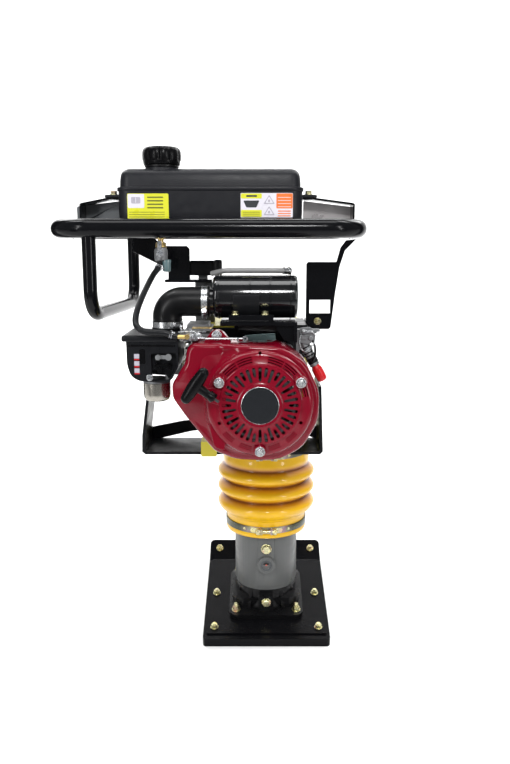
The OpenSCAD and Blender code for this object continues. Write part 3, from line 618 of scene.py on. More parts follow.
FINISHES = (
    (ZINC_YELLOW, {"shoe_bolts": 0.0006, "zinc_bolts": 0.0006}),
    (CAST_BLACK, {"foot": 0.0022}),
    (LEG_GRAY, {"leg_cylinder": 0.0014}),
    (STEEL, {"spring_cylinder": 0, "spring_cap": 0.0005, "guide_cylinder": 0, "ram_piston": 0.0005,
        "crank_gear": 0, "connecting_rod": 0.001, "clutch_drum": 0, "clutch_hub": 0, "crankshaft": 0}),
    (CASE_YELLOW, {"crankcase": 0.0025, "crankcase_cover": 0.002}),
    (BRIGHT, {"crank_bearings": 0}),
    (DARK_METAL, {"clutch_shoe_left": 0.0005, "clutch_shoe_right": 0.0005}),
    (CAST_ALUMINIUM, {"flywheel": 0, "engine_block": 0.002, "cylinder_head": 0.0008, "choke_lever": 0.0005,
        "switch_bracket": 0.001}),
    (CERAMIC, {"spark_plug": 0.0005}),
    (MUFFLER, {"muffler": 0.002}),
    (PLASTIC, {"fuel_valve_lever": 0.0005}),
    (TEAL_METAL, {"throttle_lever": 0.001}),
    (ZINC_BRIGHT, {"throttle_rod": 0, "cock_lever": 0.0005}),
    (GLOSS_BLACK, {"canister_bracket": 0.001, "handle_brackets": 0.001, "handle_frame": 0}),
    (SATIN_BLACK, {"engine_guard": 0.0012}),
    (GRAY_RUBBER, {"rubber_mounts": 0.002}),
    (RUBBER, {"cap_seal": 0}),
    (CLAMP, {"lower_band_clamp": 0.0004, "upper_band_clamp": 0.0004}),
)
for material, widths in FINISHES:
    for node, width in widths.items():
        finish_node(node, material, width)

# ---- bellows ----


def bellows():
    """Ribbed skin between the two band clamps; the depth of its folds is kept to paint shade into the folds.
    """
    low, high = span("bellows")
    ridge = high.x
    outer = [(0.0925, low.z), (0.0938, low.z + 0.003), (0.0938, low.z + 0.008), (0.0925, low.z + 0.011),
        (0.0925, low.z + 0.036), (0.0935, low.z + 0.0395), (0.0972, low.z + 0.0415)]
    first, pitch, valley = 0.27, 0.037, 0.0985
    start, end = low.z + 0.043, 0.3625
    steps = 96
    for k in range(steps + 1):
        z = start + (end - start) * k / steps
        phase = (z - first) / pitch * 2 * math.pi
        ripple = (0.5 + 0.5 * math.cos(phase)) ** 0.62
        skirt = smooth_step((z - start) / (first - 0.012 - start)) if z < first - 0.012 else 1
        base = valley if z > first else 0.0975 + 0.004 * skirt
        swell = ripple if z > first else math.sin(math.pi / 2 * (z - start) / (first - start)) ** 1.3
        outer.append((base + (ridge - base) * swell, z))
    outer += [(0.099, 0.3655), (0.1002, 0.3695), (0.1006, 0.374), (0.1, 0.379), (0.0986, 0.385),
        (0.0982, 0.39), (0.0982, high.z - 0.003), (0.0974, high.z)]
    skin, fold = 0.0032, 0.0135
    profile = outer + [(r - skin, z) for r, z in reversed(outer)]
    sides = 160
    rings = [[(r * math.cos(2 * math.pi * k / sides), r * math.sin(2 * math.pi * k / sides), z)
        for k in range(sides)] for r, z in profile + profile[:1]]
    obj = piece("bellows_skin", quads(rings, cap=False), BELLOWS, ["bellows"], body=None,
        sharp=60)
    cleaned(obj.data, JOIN)
    # Fold depth of each point, faded out at both ends; it drives the painted shade in the folds.
    depth = obj.data.attributes.new("painted_fold_shade", "FLOAT", "POINT")
    for i, v in enumerate(obj.data.vertices):
        p = UPRIGHT @ v.co
        r = math.hypot(p.x, p.y)
        fade = 1 - smooth_step((p.z - end) / 0.012) if p.z > end else smooth_step((p.z - first) / 0.006)
        depth.data[i].value = fade * max(0, min(1, (ridge - r) / fold))
    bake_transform(obj)


bellows()


def ram_springs():
    """Coils of the two ram springs, each wound in place between its two heights."""
    radius, wire = 0.024, 0.0038
    for node, z0, z1, turns, below, above in (("lower_spring", 0.096, 0.175, 5, "lower_unit", "upper_unit"),
            ("upper_spring", 0.205, 0.275, 4.5, "upper_unit", "lower_unit")):
        obj = piece(node + "_coil", coil((0, 0, z0), UP, radius, z1 - z0, turns, wire, 12), STEEL,
            [node], body=None)
        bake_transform(obj)


ram_springs()

# ---- shoe ----


def formed_plate(name, node, half, heel, run, z0, z1, heel_corner, toe_corner, bevel):
    """Flat plate whose toe end is bent up; it is drawn along its length."""
    toe, bend_y, ease = math.radians(21), 0.146, 0.009
    radius = 2 * ease / toe
    total = bend_y - heel + run

    def at(s, h):
        flat = bend_y - heel - ease
        if s < flat:
            return heel + s, h
        a = min(toe, (s - flat) / radius)
        past = max(0, s - flat - 2 * ease)
        return (heel + flat + (radius - h) * math.sin(a) + past * math.cos(a),
            radius - (radius - h) * math.cos(a) + past * math.sin(a))

    stops = [0, *(heel_corner * (1 - math.cos(math.pi / 2 * k / 6)) for k in range(1, 7))]
    stops += [bend_y - heel - ease + 2 * ease * k / 8 for k in range(9)]
    stops += [total - toe_corner * (1 - math.sin(math.pi / 2 * k / 6)) for k in range(7)]
    rings = []
    for s in stops:
        near = min(s, total - s)
        c = heel_corner if s < total / 2 else toe_corner
        w = half - (c - math.sqrt(max(0, c * c - (c - near) ** 2)) if near < c else 0)
        (ya, za), (yb, zb) = at(s, z0), at(s, z1)
        rings.append([(-w, ya, za), (w, ya, za), (w, yb, zb), (-w, yb, zb)])
    piece(name, quads(rings), SHOE_BLACK, [node], body="lower_unit", bevel=bevel, level=True,
        segments=4)


formed_plate("shoe_plate", "shoe_sole", 0.144, -0.149, 0.0695, 0, 0.021, 0.008, 0.012, 0.0028)
formed_plate("shoe_cover", "shoe_top_plate", 0.1365, -0.134, 0.0655, 0.0212, 0.025, 0.004, 0.014, 0.0011)


def leg_bolts():
    """Foot studs with their nuts, the drain screw and the filler plug."""
    deck = 0.037
    parts = []
    for x in (-0.07, 0.07):
        for y in (-0.068, 0.068):
            parts.append(turned([(0.0102, deck), (0.0102, deck + 0.0018), (1e-4, deck + 0.0018)], 40,
                (x, y, 0)))
            parts.append(hexagon(0.0145, 0.0085, (x, y, deck + 0.0018), UP))
            parts.append(turned([(0.0046, deck), (0.0046, 0.0545), (0.0036, 0.0558), (1e-4, 0.0558)], 24,
                (x, y, 0)))
            parts.append(coil((x, y, deck + 0.0105), UP, 0.0046, 0.0075, 6, 0.0005, 6))
    parts.append(hexagon(0.018, 0.0075, (0, -0.0785, 0.067), FRONT, 0.0112))
    plug = hexagon(0.019, 0.0085, (0, -0.0745, 0.172), FRONT, 0.0122)
    piece("foot_nuts", merge(*parts, moved(plug, LEAN)), ZINC_YELLOW, ["leg_bolts"],
        body="lower_unit", bevel=0.0006, level=True, segments=3)


leg_bolts()

# ---- engine covers ----

hub = middle("flywheel")
DRUM = 0.0985


def cover_reach(steps):
    """Distance from the crank to the fan cover's outline in each direction, smoothed."""
    front = span("fan_cover")[0].y
    rim = []
    for v in frame["nodes"]["fan_cover"].data.vertices:
        p = UPRIGHT @ v.co
        x, z = p.x - hub.x, p.z - hub.z
        if p.y < front + 0.0005 and math.hypot(x, z) > 0.098:
            rim.append((math.atan2(z, x), x, z))
    rim.sort()
    rim = [(rim[-1][0] - 2 * math.pi, *rim[-1][1:])] + rim + [(rim[0][0] + 2 * math.pi, *rim[0][1:])]
    raw = []
    for k in range(steps):
        a = -math.pi + 2 * math.pi * k / steps
        i = next(i for i in range(len(rim) - 1) if rim[i][0] <= a <= rim[i + 1][0])
        (_, x0, z0), (_, x1, z1) = rim[i], rim[i + 1]
        side = (x1 - x0) * math.sin(a) - (z1 - z0) * math.cos(a)
        raw.append(((x1 - x0) * z0 - (z1 - z0) * x0) / side if abs(side) > 1e-9 else math.hypot(x0, z0))
    out = []
    for k in range(steps):
        reach = 5 if math.cos(2 * math.pi * k / steps) < 0.35 else 1
        out.append(sum(abs(raw[(k + d) % steps]) for d in range(-reach, reach + 1)) / (2 * reach + 1))
    return out


def fan_cover():
    """Shroud around the flywheel: drum lip, sunk face, rounded edge and skirt."""
    steps = 240
    low, high = span("fan_cover")
    front, back = -low.y, -high.y + 0.001
    reach = cover_reach(steps)
    crease = Vector((0.039, -0.097)).normalized()
    drawn = []
    for k, r in enumerate(reach):
        a = -math.pi + 2 * math.pi * k / steps
        u = (math.cos(a), math.sin(a))
        fillet = min(0.011, max(0.006, (r - DRUM) * 0.8))
        room = r - DRUM
        drop = 0.021 * smooth_step((room - 0.006) / 0.03)

        def depth(q):
            x, z = hub.x + q * u[0], hub.z + q * u[1]
            beyond = (Vector((x + 0.136, z - 0.6))).cross(crease)
            fold = 0.36 * max(0, beyond) if z < 0.64 else 0.36 * max(0, beyond) * max(0,
                1 - (z - 0.64) / 0.02)
            cove = math.sin(math.pi / 2 * min(1, max(0, (q - DRUM) / 0.015))) ** 0.8
            return front + 0.001 - drop * cove - min(0.02, fold)

        line = [(0.08, front - 0.006), (0.084, front), (DRUM - 0.001, front + 0.001)]
        flat = r - fillet
        line += [(DRUM + (flat - DRUM) * t, depth(DRUM + (flat - DRUM) * t))
            for t in (0.03, 0.07, 0.12, 0.18, 0.25, 0.34, 0.44, 0.56, 0.68, 0.8, 0.92)]
        top = depth(flat)
        line += [(flat + fillet * math.sin(t), top - fillet + fillet * math.cos(t))
            for t in (math.pi / 2 * j / 6 for j in range(7))]
        line += [(r, 0.31), (r, back + 0.002), (r - 0.001, back), (r - 0.0035, back), (r - 0.0035, 0.34),
            (r - fillet, front - 0.028), (0.09, front - 0.006)]
        drawn.append([(hub.x + q * u[0], -d, hub.z + q * u[1]) for q, d in line])
    rings = [[drawn[k][i] for k in range(steps)] for i in range(len(drawn[0]))]
    shape = quads(rings + rings[:1], cap=False)
    tab = plate([(-0.124, 0.68), (-0.106, 0.706), (-0.088, 0.706), (-0.066, 0.68)], -0.3, -0.322, 0.006)
    piece("fan_cover_shell", merge(shape, tab), CRIMSON, ["fan_cover"], sharp=50)


def sector(r, a0, a1, width, d0, d1):
    """Slot along an arc about the crank, angles in degrees, cut from depth d0 to d1."""
    n = 8
    path = [(r + width / 2, a0 + (a1 - a0) * k / n) for k in range(n + 1)]
    path += [(r - width / 2, a1 + (a0 - a1) * k / n) for k in range(n + 1)]
    return prism([on_cover(q, a) for q, a in path], -d0, -d1)


def ray_slot(a, r0, r1, width, d0, d1):
    """Round-ended slot that points at the crank."""
    u = Vector((math.cos(a), math.sin(a)))
    w = Vector((-u.y, u.x))
    flat = []
    for r, way in ((r1 - width / 2, 1), (r0 + width / 2 * 0.8, -1)):
        half = width / 2 * (1 if way > 0 else 0.8)
        for k in range(7):
            t = -math.pi / 2 + math.pi * k / 6
            p = u * (r + way * half * math.cos(t)) + w * (way * half * math.sin(t))
            flat.append((hub.x + p.x, hub.z + p.y))
    return prism(flat, -d0, -d1)


def on_cover(r, degrees):
    """Point (x, z) at a radius and an angle about the crank."""
    a = math.radians(degrees)
    return hub.x + r * math.cos(a), hub.z + r * math.sin(a)


def recoil_cover():
    """Slotted cap with its bosses, emblem, rope guide and the screen that turns behind its slots."""
    skin = [(1e-4, 0.3955), (0.0337, 0.3955), (0.0343, 0.3985), (0.0352, 0.3997), (0.0385, 0.3997),
        (0.0398, 0.3975), (0.0425, 0.3962), (0.056, 0.3958), (0.0705, 0.3945), (0.0732, 0.3938),
        (0.0745, 0.3905), (0.076, 0.3896), (0.088, 0.3878), (0.0915, 0.3868), (0.0945, 0.3845),
        (0.0965, 0.381), (0.0975, 0.376), (0.0975, 0.367), (0.0945, 0.367), (0.0945, 0.375), (0.0925, 0.381),
        (0.088, 0.3845), (0.076, 0.386), (0.0715, 0.3875), (0.0705, 0.3905), (0.056, 0.392), (0.0425, 0.3925),
        (1e-4, 0.3925)]
    shell = turned_forward(skin, hub.x, hub.z, 180)
    through = 0.38, 0.41
    cuts = []
    for k in range(36):
        a = math.radians(10 * k + 90)
        cuts.append(ray_slot(a, 0.0435 if k % 2 == 0 else 0.0515, 0.069, 0.0062, *through))
    for a0, a1 in ((61, 80), (41, 59), (100, 119), (121, 139), (10, 23), (157, 170)):
        for r in (0.0785, 0.083, 0.0875):
            cuts.append(sector(r, a0, a1, 0.0019, *through))
    for a0, a1 in ((219, 234), (244, 259), (281, 296), (306, 321)):
        for r in (0.079, 0.0825, 0.086):
            cuts.append(sector(r, a0, a1, 0.0013, 0.3872, 0.41))
    for a, r in ((90, 0.093), (205, 0.081), (335.7, 0.081)):
        cuts.append(turned_forward([(0.0031, 0.36), (0.0031, 0.41)], *on_cover(r, a), 20))
    shell = carved(shell, merge(*cuts))
    extra = []
    for a in SCREW_ANGLES:
        boss = [(0.0115, 0.382), (0.0112, 0.3965), (0.0102, 0.3988), (0.009, 0.3997), (0.0001, 0.3997)]
        extra.append(turned_forward(boss, *on_cover(SCREW_CIRCLE, a), 40))
    flange = plate([(-0.11, 0.606), (-0.1085, 0.594), (-0.108, 0.532), (-0.1005, 0.499), (-0.082, 0.492),
        (-0.07, 0.56), (-0.078, 0.606)], -0.366, -0.381, 0.006)
    eye = plate([(-0.1205, 0.609), (-0.1215, 0.598), (-0.112, 0.586), (-0.093, 0.58), (-0.078, 0.575),
        (-0.078, 0.605), (-0.098, 0.6125)], -0.366, -0.3925, 0.007)
    piece("recoil_shell", shell, CRIMSON, ["recoil_cover"], sharp=28, bevel=0.0007)
    piece("recoil_bosses", merge(*extra, flange, eye), CRIMSON, bevel=0.0022, segments=4,
        sharp=28)
    disc = [(0.0328, 0.395), (0.0332, 0.3975), (0.0325, 0.3984), (0.02, 0.399), (1e-4, 0.3992)]
    piece("emblem_disc", turned_forward(disc, hub.x, hub.z, 96), DISC_BLACK)
    edge = [(hub.x + 0.0337 * math.cos(t), -0.3986, hub.z + 0.0337 * math.sin(t))
        for t in (2 * math.pi * k / 96 for k in range(96))]
    piece("emblem_ring", tube(edge, 0.0004, 8, True), ZINC_BRIGHT)
    screen = turned_forward([(1e-4, 0.3895), (0.064, 0.3895), (0.0665, 0.388), (0.0675, 0.376),
        (0.066, 0.376), (0.065, 0.3868), (1e-4, 0.388)], hub.x, hub.z, 96)
    holes = [ray_slot(math.radians(15 * k), 0.046, 0.061, 0.0075, *through) for k in range(24)]
    piece("starter_cup", carved(screen, merge(*holes)), DARK_METAL, ["starter_pulley"],
        body="pulley", sharp=28)
    guide = tube([(-0.1045, -0.404, 0.6005), (-0.0965, -0.404, 0.5945)], 0.0078, 28)
    hole = [(0.0078, -0.001), (0.0083, 0.0), (0.0083, 0.0022), (0.0068, 0.0034), (0.004, 0.0034)]
    guide = merge(guide, turned(hole, 28, (-0.1045, -0.404, 0.6005), (-0.8, 0, 0.6)))
    piece("rope_guide", guide, PLASTIC, bevel=0.0008)


def starter_grip():
    """T-grip, and the short rope that joins it to the guide."""
    bar = capsule((-0.1165, -0.413, 0.6415), (-0.147, -0.413, 0.5968), 0.0098, 32, 0.0022)
    neck = turned([(0.0102, 0.0), (0.0098, 0.006), (0.0084, 0.014), (0.0074, 0.024), (0.0072, 0.034),
        (0.0086, 0.0375), (0.0086, 0.042), (0.0074, 0.0435), (0.003, 0.044), (0.003, 0.04), (1e-4, 0.04)], 32,
        (-0.1335, -0.413, 0.6215), (0.806, 0.04, -0.59))
    piece("starter_handle", merge(bar, neck), PLASTIC, ["starter_grip"], body="grip",
        sharp=55)
    start, end = Vector((-0.09, -0.4105, 0.5895)), Vector((-0.1035, -0.412, 0.5995))
    rope = [start.lerp(end, k / 6) for k in range(7)]
    obj = piece("starter_rope", tube(rope, 0.0024, 12), ROPE, body=None)
    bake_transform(obj)


fan_cover()
recoil_cover()
starter_grip()

# ---- tank ----


def tank():
    """Tank halves with their seam, lugs and filler collar."""
    levels = [(0.9052, 0.02), (0.9054, 0.011), (0.907, 0.0062), (0.9105, 0.0025), (0.916, 0.0006), (0.93, 0),
        (0.9715, 0), (0.9725, -0.0018), (0.9735, -0.0024), (0.9782, -0.0024), (0.9792, -0.0018),
        (0.98, 0.0036), (0.992, 0.0042), (1.003, 0.0056), (1.0085, 0.0076), (1.0125, 0.0108),
        (1.0155, 0.0158), (1.0172, 0.022), (1.018, 0.034), (1.0186, 0.06)]
    low, high = span("fuel_tank")
    x0, x1, y = low.x + 0.032, high.x - 0.032, high.y
    shapes = [rounded_slab(x0, x1, -y, y, 0.026, levels)]
    for at in (x0 - 0.032, x1 - 0.01):
        shapes.append(rounded_slab(at, at + 0.042, -0.086, -0.044, 0.008,
            [(0.96, 0.001), (0.961, 0), (0.965, 0), (0.966, 0.001)]))
    collar = [(0.036, 1.012), (0.0355, 1.0195), (0.034, 1.0205), (0.032, 1.0208), (0.0318, 1.0222),
        (0.026, 1.0222), (0.026, 1.012)]
    shapes.append(turned(collar, 64, CAP_AT))
    piece("tank_shell", merge(*shapes), TANK, ["fuel_tank"], sharp=40)


def sticker(name, outline, material, lift=0.0):
    """Thin panel on the tank's front, raised by lift."""
    y, thick, corner = span("fuel_tank")[0].y, 0.0004, 0.0025
    piece(name, plate(outline, y, y - thick - lift, corner), material)


def bars(x0, x1, z0, z1, rows, share):
    """Outlines of blank bars stacked between z0 and z1."""
    step = (z1 - z0) / rows
    return [[(x0, z0 + step * k), (x1, z0 + step * k), (x1, z0 + step * (k + share)),
        (x0, z0 + step * (k + share))] for k in range(rows)]


def rect(x0, x1, z0, z1):
    """Outline of an upright rectangle."""
    return [(x0, z0), (x1, z0), (x1, z1), (x0, z1)]


def stickers():
    """Blank panels where the photo has two stickers."""
    sticker("left_label", rect(-0.289, -0.204, 0.911, 0.966), LABEL_YELLOW)
    sticker("left_label_panel", rect(-0.288, -0.254, 0.937, 0.965), LABEL_WHITE, 0.0002)
    sticker("left_label_arc", rect(-0.281, -0.262, 0.946, 0.959), LABEL_GRAY, 0.0004)
    sticker("left_label_fold", rect(-0.272, -0.271, 0.947, 0.958), LABEL_WHITE, 0.0006)
    for k, o in enumerate(bars(-0.248, -0.215, 0.936, 0.964, 4, 0.42)):
        sticker(f"left_label_bar_{k}", o, LABEL_OLIVE, 0.0002)
    for k, o in enumerate(bars(-0.286, -0.212, 0.9135, 0.933, 4, 0.22)):
        sticker(f"left_label_line_{k}", o, LABEL_OLIVE, 0.0002)
    sticker("right_label", rect(-0.0556, 0.052, 0.918, 0.967), LABEL_WHITE)
    sticker("right_label_cap", rect(-0.055, -0.012, 0.956, 0.9662), LABEL_YELLOW, 0.0002)
    sticker("right_label_title", rect(-0.044, -0.022, 0.9592, 0.9628), LABEL_INK, 0.0004)
    sticker("right_label_mark", [(-0.05, 0.952), (-0.044, 0.938), (-0.023, 0.938), (-0.017, 0.952)],
        LABEL_INK, 0.0002)
    sticker("right_label_foot", rect(-0.055, -0.012, 0.9188, 0.933), LABEL_YELLOW, 0.0002)
    for k, o in enumerate(bars(-0.051, -0.016, 0.92, 0.932, 3, 0.3)):
        sticker(f"right_label_line_{k}", o, LABEL_OLIVE, 0.0004)
    for k, z in enumerate((0.9225, 0.945)):
        sign = [(-0.0085, z), (0.003, z + 0.0185), (0.015, z)]
        sticker(f"right_label_sign_{k}", sign, LABEL_GRAY, 0.0002)
        inner = [(-0.0052, z + 0.002), (0.003, z + 0.0152), (0.0116, z + 0.002)]
        sticker(f"right_label_inner_{k}", inner, LABEL_WHITE, 0.0004)
        sticker(f"right_label_fill_{k}", rect(0.001, 0.005, z + 0.0035, z + 0.009), LABEL_GRAY, 0.0006)
    sticker("right_label_panel", rect(0.018, 0.0515, 0.936, 0.9662), LABEL_ORANGE, 0.0002)
    for k, o in enumerate(bars(0.021, 0.048, 0.939, 0.964, 4, 0.16)):
        sticker(f"right_label_bar_{k}", o, LABEL_WHITE, 0.0004)
    for k, o in enumerate(bars(0.021, 0.048, 0.92, 0.9345, 3, 0.45)):
        sticker(f"right_label_tail_{k}", o, LABEL_ORANGE, 0.0002)


def fuel_cap():
    """Fluted cap."""
    def flutes(a, h):
        if not 1.0355 < h < 1.0605:
            return 1
        return 1 + 0.085 * (abs(math.cos(5 * a)) ** 0.45 - 0.8)
    profile = [(0.0345, 1.0254), (0.0368, 1.0258), (0.0382, 1.028), (0.0388, 1.0325), (0.0391, 1.0345),
        (0.0392, 1.0357), (0.0398, 1.0375), (0.0402, 1.046), (0.0395, 1.0545), (0.0375, 1.0592),
        (0.0345, 1.0618), (0.031, 1.0628), (0.0285, 1.0626), (0.027, 1.0612), (0.0245, 1.061),
        (0.012, 1.0622), (1e-4, 1.0625)]
    profile = [(1e-4, 1.03), (0.029, 1.03), (0.029, 1.0256)] + profile
    piece("cap_shell", turned(profile, 144, CAP_AT, UP, flutes), PLASTIC, ["fuel_cap"],
        body="cap", sharp=50)


tank()
stickers()
fuel_cap()

# ---- carburettor and intake ----


def intake_box():
    """Air intake box with its lid, choke slot, badge and screw."""
    outline = [(-0.2645, 0.697), (-0.2635, 0.642), (-0.257, 0.622), (-0.243, 0.6125), (-0.186, 0.6085),
        (-0.1685, 0.637), (-0.1685, 0.697)]
    body = plate(outline, -0.206, -0.33, 0.009)
    lid = rounded_slab(-0.2728, -0.1665, -0.334, -0.202, 0.006, [(0.6865, 0.0016), (0.6878, 0.0004),
        (0.689, 0), (0.694, 0), (0.6962, 0.0008), (0.6975, 0.003), (0.698, 0.008)])
    niche = plate([(-0.218, 0.6135), (-0.219, 0.664), (-0.172, 0.665), (-0.171, 0.638), (-0.188, 0.6135)],
        -0.312, -0.34, 0.004)
    bowl = turned([(0.0268, 0.56), (0.0268, 0.6155)], 48, (BOWL_X, BOWL_Y, 0))
    barrel = turned_forward([(0.0268, 0.25), (0.0268, 0.318)], BOWL_X, 0.604, 48)
    shape = carved(carved(carved(body, niche), bowl), barrel)
    spigot = turned([(0.025, 0.69), (0.025, 0.73), (0.021, 0.73), (0.021, 0.69)], 48, (ELBOW_X, ELBOW_Y, 0))
    piece("intake_body", merge(shape, lid, spigot), BOX_PLASTIC, ["intake_box"],
        bevel=0.0012, sharp=30, segments=3)
    trims = [rounded_slab(-0.2615, -0.174, -0.3325, -0.328, 0.002, [(0.6775, 0), (0.6805, 0)]),
        plate(rect(-0.2405, -0.2295, 0.6445, 0.6725), -0.329, -0.3308, 0.0015)]
    piece("intake_trim", merge(*trims), PLASTIC, bevel=0.0005)
    marks = [plate(rect(-0.25, -0.2405, z, z + 0.0085), -0.3295, -0.3304, 0.001)
        for z in (0.628, 0.6415, 0.655)]
    piece("intake_badge", merge(*marks), LABEL_GRAY)
    lines = [plate(rect(-0.25, -0.2405, z, z + 0.0022), -0.3295, -0.3304, 0.0005)
        for z in (0.6255, 0.6385, 0.652)]
    piece("intake_badge_lines", merge(*lines), RED_PLASTIC)
    piece("intake_screw", hexagon(0.0085, 0.005, (-0.2222, -0.33, 0.619), FRONT, 0.0062), ZINC_BRIGHT,
        bevel=0.0004)
    pivot = turned_forward([(0.0045, 0.311), (0.0045, 0.318), (1e-4, 0.318)], -0.2055, 0.6515, 20)
    rail = box((-0.212, -0.32, 0.6385), (-0.182, -0.3115, 0.6425))
    piece("choke_works", merge(pivot, rail), PLASTIC, bevel=0.0008)


def carburettor():
    """Float bowl, body, hose spigot, governor works and throttle spring."""
    x, y = BOWL_X, BOWL_Y
    bowl = [(1e-4, 0.5655), (0.004, 0.5652), (0.0045, 0.5672), (0.0175, 0.5682), (0.0225, 0.5705),
        (0.0252, 0.575), (0.0262, 0.582), (0.0262, 0.6035), (1e-4, 0.6035)]
    piece("float_bowl", turned(bowl, 72, (x, y, 0)), BOWL, sharp=40)
    shapes = [turned([(0.0256, 0.6036), (0.0256, 0.6065), (0.024, 0.612), (1e-4, 0.612)], 48, (x, y, 0)),
        box((-0.196, -0.304, 0.611), (-0.1835, -0.262, 0.65)), box((-0.1652, -0.329, 0.6875),
        (-0.1325, -0.2545, 0.7005))]
    for cx, cy, cz, r, top in ((-0.159, -0.322, 0.7, 0.004, 0.7065), (-0.147, -0.3, 0.7, 0.0055, 0.7075),
            (-0.138, -0.318, 0.7, 0.0035, 0.7045)):
        shapes.append(turned([(r, cz - 0.004), (r, top - 0.001), (r * 0.8, top), (1e-4, top)], 24,
            (cx, cy, 0)))
    piece("carburettor_body", merge(*shapes), CAST_ALUMINIUM, ["carburettor"], bevel=0.0015,
        segments=3)
    spigot = tube([(-0.15, -0.329, 0.697), (-0.15, -0.347, 0.697)], 0.0046, 20)
    nipple = tube([(-0.15, -0.343, 0.697), (-0.167, -0.343, 0.697)], 0.0039, 20)
    piece("hose_spigot", merge(spigot, nipple), BRASS, bevel=0.0003)
    works = [coil((-0.1615, -0.3365, 0.6945), RIGHT, 0.0034, 0.024, 7, 0.0007),
        tube(rounded_path([(-0.1665, -0.333, 0.7045), (-0.14, -0.333, 0.706), (-0.13, -0.333, 0.7005),
        (-0.122, -0.333, 0.693)], 0.005), 0.0011, 10), plate([(-0.156, 0.696), (-0.15, 0.703),
        (-0.134, 0.701), (-0.127, 0.693), (-0.135, 0.688)], -0.3305, -0.3322, 0.003),
        hexagon(0.0085, 0.004, (-0.144, -0.332, 0.695), FRONT, 0.006),
        hexagon(0.007, 0.0045, (-0.16, -0.33, 0.6925), FRONT, 0.005),
        hexagon(0.0075, 0.0045, (-0.13, -0.332, 0.6975), FRONT, 0.0055),
        tube([(-0.1625, -0.3265, 0.7065), (-0.1625, -0.3265, 0.713)], 0.0016, 12),
        turned([(0.0032, 0.7125), (0.0036, 0.7145), (0.0022, 0.7165), (1e-4, 0.7168)], 20,
        (-0.1625, -0.3265, 0)), box((-0.148, -0.31, 0.7005), (-0.118, -0.302, 0.7035)),
        tube(rounded_path([(-0.118, -0.338, 0.6935), (-0.129, -0.338, 0.6935), (-0.134, -0.334, 0.6935)],
        0.003), 0.0016, 10)]
    piece("governor_works", merge(*works), ZINC_BRIGHT, bevel=0.0004, sharp=40)
    strip = box((-0.144, -0.306, 0.708), (-0.106, -0.286, 0.7095))
    piece("brass_strip", strip, BRASS, bevel=0.0004)
    loop = rounded_path([(-0.058, -0.3425, 0.6955), (-0.058, -0.3425, 0.6875), (-0.041, -0.3425, 0.6872),
        (-0.033, -0.34, 0.688), (0.004, -0.3315, 0.6868), (0.013, -0.329, 0.6905)], 0.003)
    piece("throttle_spring", merge(tube(loop, 0.0008, 8), coil((-0.03, -0.339, 0.688), RIGHT, 0.0022, 0.026,
        13, 0.0005)), TEAL_METAL, body="throttle")
    blade = plate([(-0.046, 0.6975), (-0.024, 0.6995), (0.01, 0.7015), (0.0125, 0.6985), (-0.004, 0.6895),
        (-0.022, 0.6855), (-0.044, 0.688)], -0.3242, -0.3266, 0.004)
    piece("throttle_blade", blade, TEAL_METAL, body="throttle", bevel=0.0006)


def canister():
    """Air canister with its neck, saddle and foot."""
    x0, x1 = -0.108, 0.057
    y, z, r = -0.222, 0.762, 0.0418
    profile = filleted([(1e-4, x0), (r, x0), (r, x1), (1e-4, x1)], {1: 0.01, 2: 0.007}, 8)
    line = [p for p in profile if p[1] < -0.0375]
    line += [(r, -0.0375), (r + 0.0012, -0.0368), (r + 0.0012, -0.0352), (r, -0.0345), (r, 0.0018),
        (r + 0.0012, 0.0025), (r + 0.0012, 0.0041), (r, 0.0048)]
    line += [p for p in profile if p[1] > 0.005]
    shell = turned(line, 96, (0, y, z), RIGHT)
    neck = turned([(0.0248, -0.146), (0.0248, -0.1), (0.021, -0.1), (0.021, -0.146)], 48,
        (0, ELBOW_Y, NECK_Z), RIGHT)
    ribs = [turned([(r + 0.0005, a), (r + 0.0016, a + 0.0006), (r + 0.0016, a + 0.0022),
        (r + 0.0005, a + 0.0028)], 96, (0, y, z), RIGHT) for a in (-0.098, 0.042)]
    piece("canister_shell", merge(shell, neck, *ribs), GLOSS_PLASTIC, ["air_canister"],
        sharp=40)
    outer, inner = r + 0.0046, r + 0.0022
    arc = []
    for q, way in ((outer, 1), (inner, -1)):
        for k in range(25):
            a = math.radians((-148 + 66 * k / 24) if way > 0 else (-82 - 66 * k / 24))
            arc.append((y + q * math.sin(a), z + q * math.cos(a)))
    rings = [[(x, b, c) for b, c in arc] for x in (-0.068, -0.018)]
    piece("canister_saddle", quads(rings), SATIN_BLACK, bevel=0.0006)
    piece("saddle_foot", box((-0.0755, -0.291, 0.7195), (-0.0005, -0.27, 0.7215)), SATIN_BLACK,
        bevel=0.0006)


def elbow():
    """Rubber bend from the intake box to the canister."""
    x, y, z, r = ELBOW_X, ELBOW_Y, NECK_Z, 0.0288
    bend_r = 0.03
    path = [(x, y, 0.6995), (x, y, z - bend_r)]
    path += [(x + bend_r - bend_r * math.cos(a), y, z - bend_r + bend_r * math.sin(a))
        for a in (math.pi / 2 * k / 14 for k in range(1, 15))]
    path += [(-0.114, y, z)]
    lips = [turned([(r, 0), (r + 0.0018, 0.0008), (r + 0.0018, 0.0042), (r, 0.005)], 56, at, way) for at,
        way in (((x, y, 0.6988), UP), ((-0.1135, y, z), -RIGHT))]
    crease = turned([(r - 0.0005, 0), (r + 0.0009, 0.001), (r + 0.0009, 0.0022), (r - 0.0005, 0.0032)], 56,
        (x, y, 0.7165), UP)
    piece("elbow_skin", merge(tube(path, r, 56), *lips, crease), RUBBER, ["intake_elbow"],
        sharp=50)


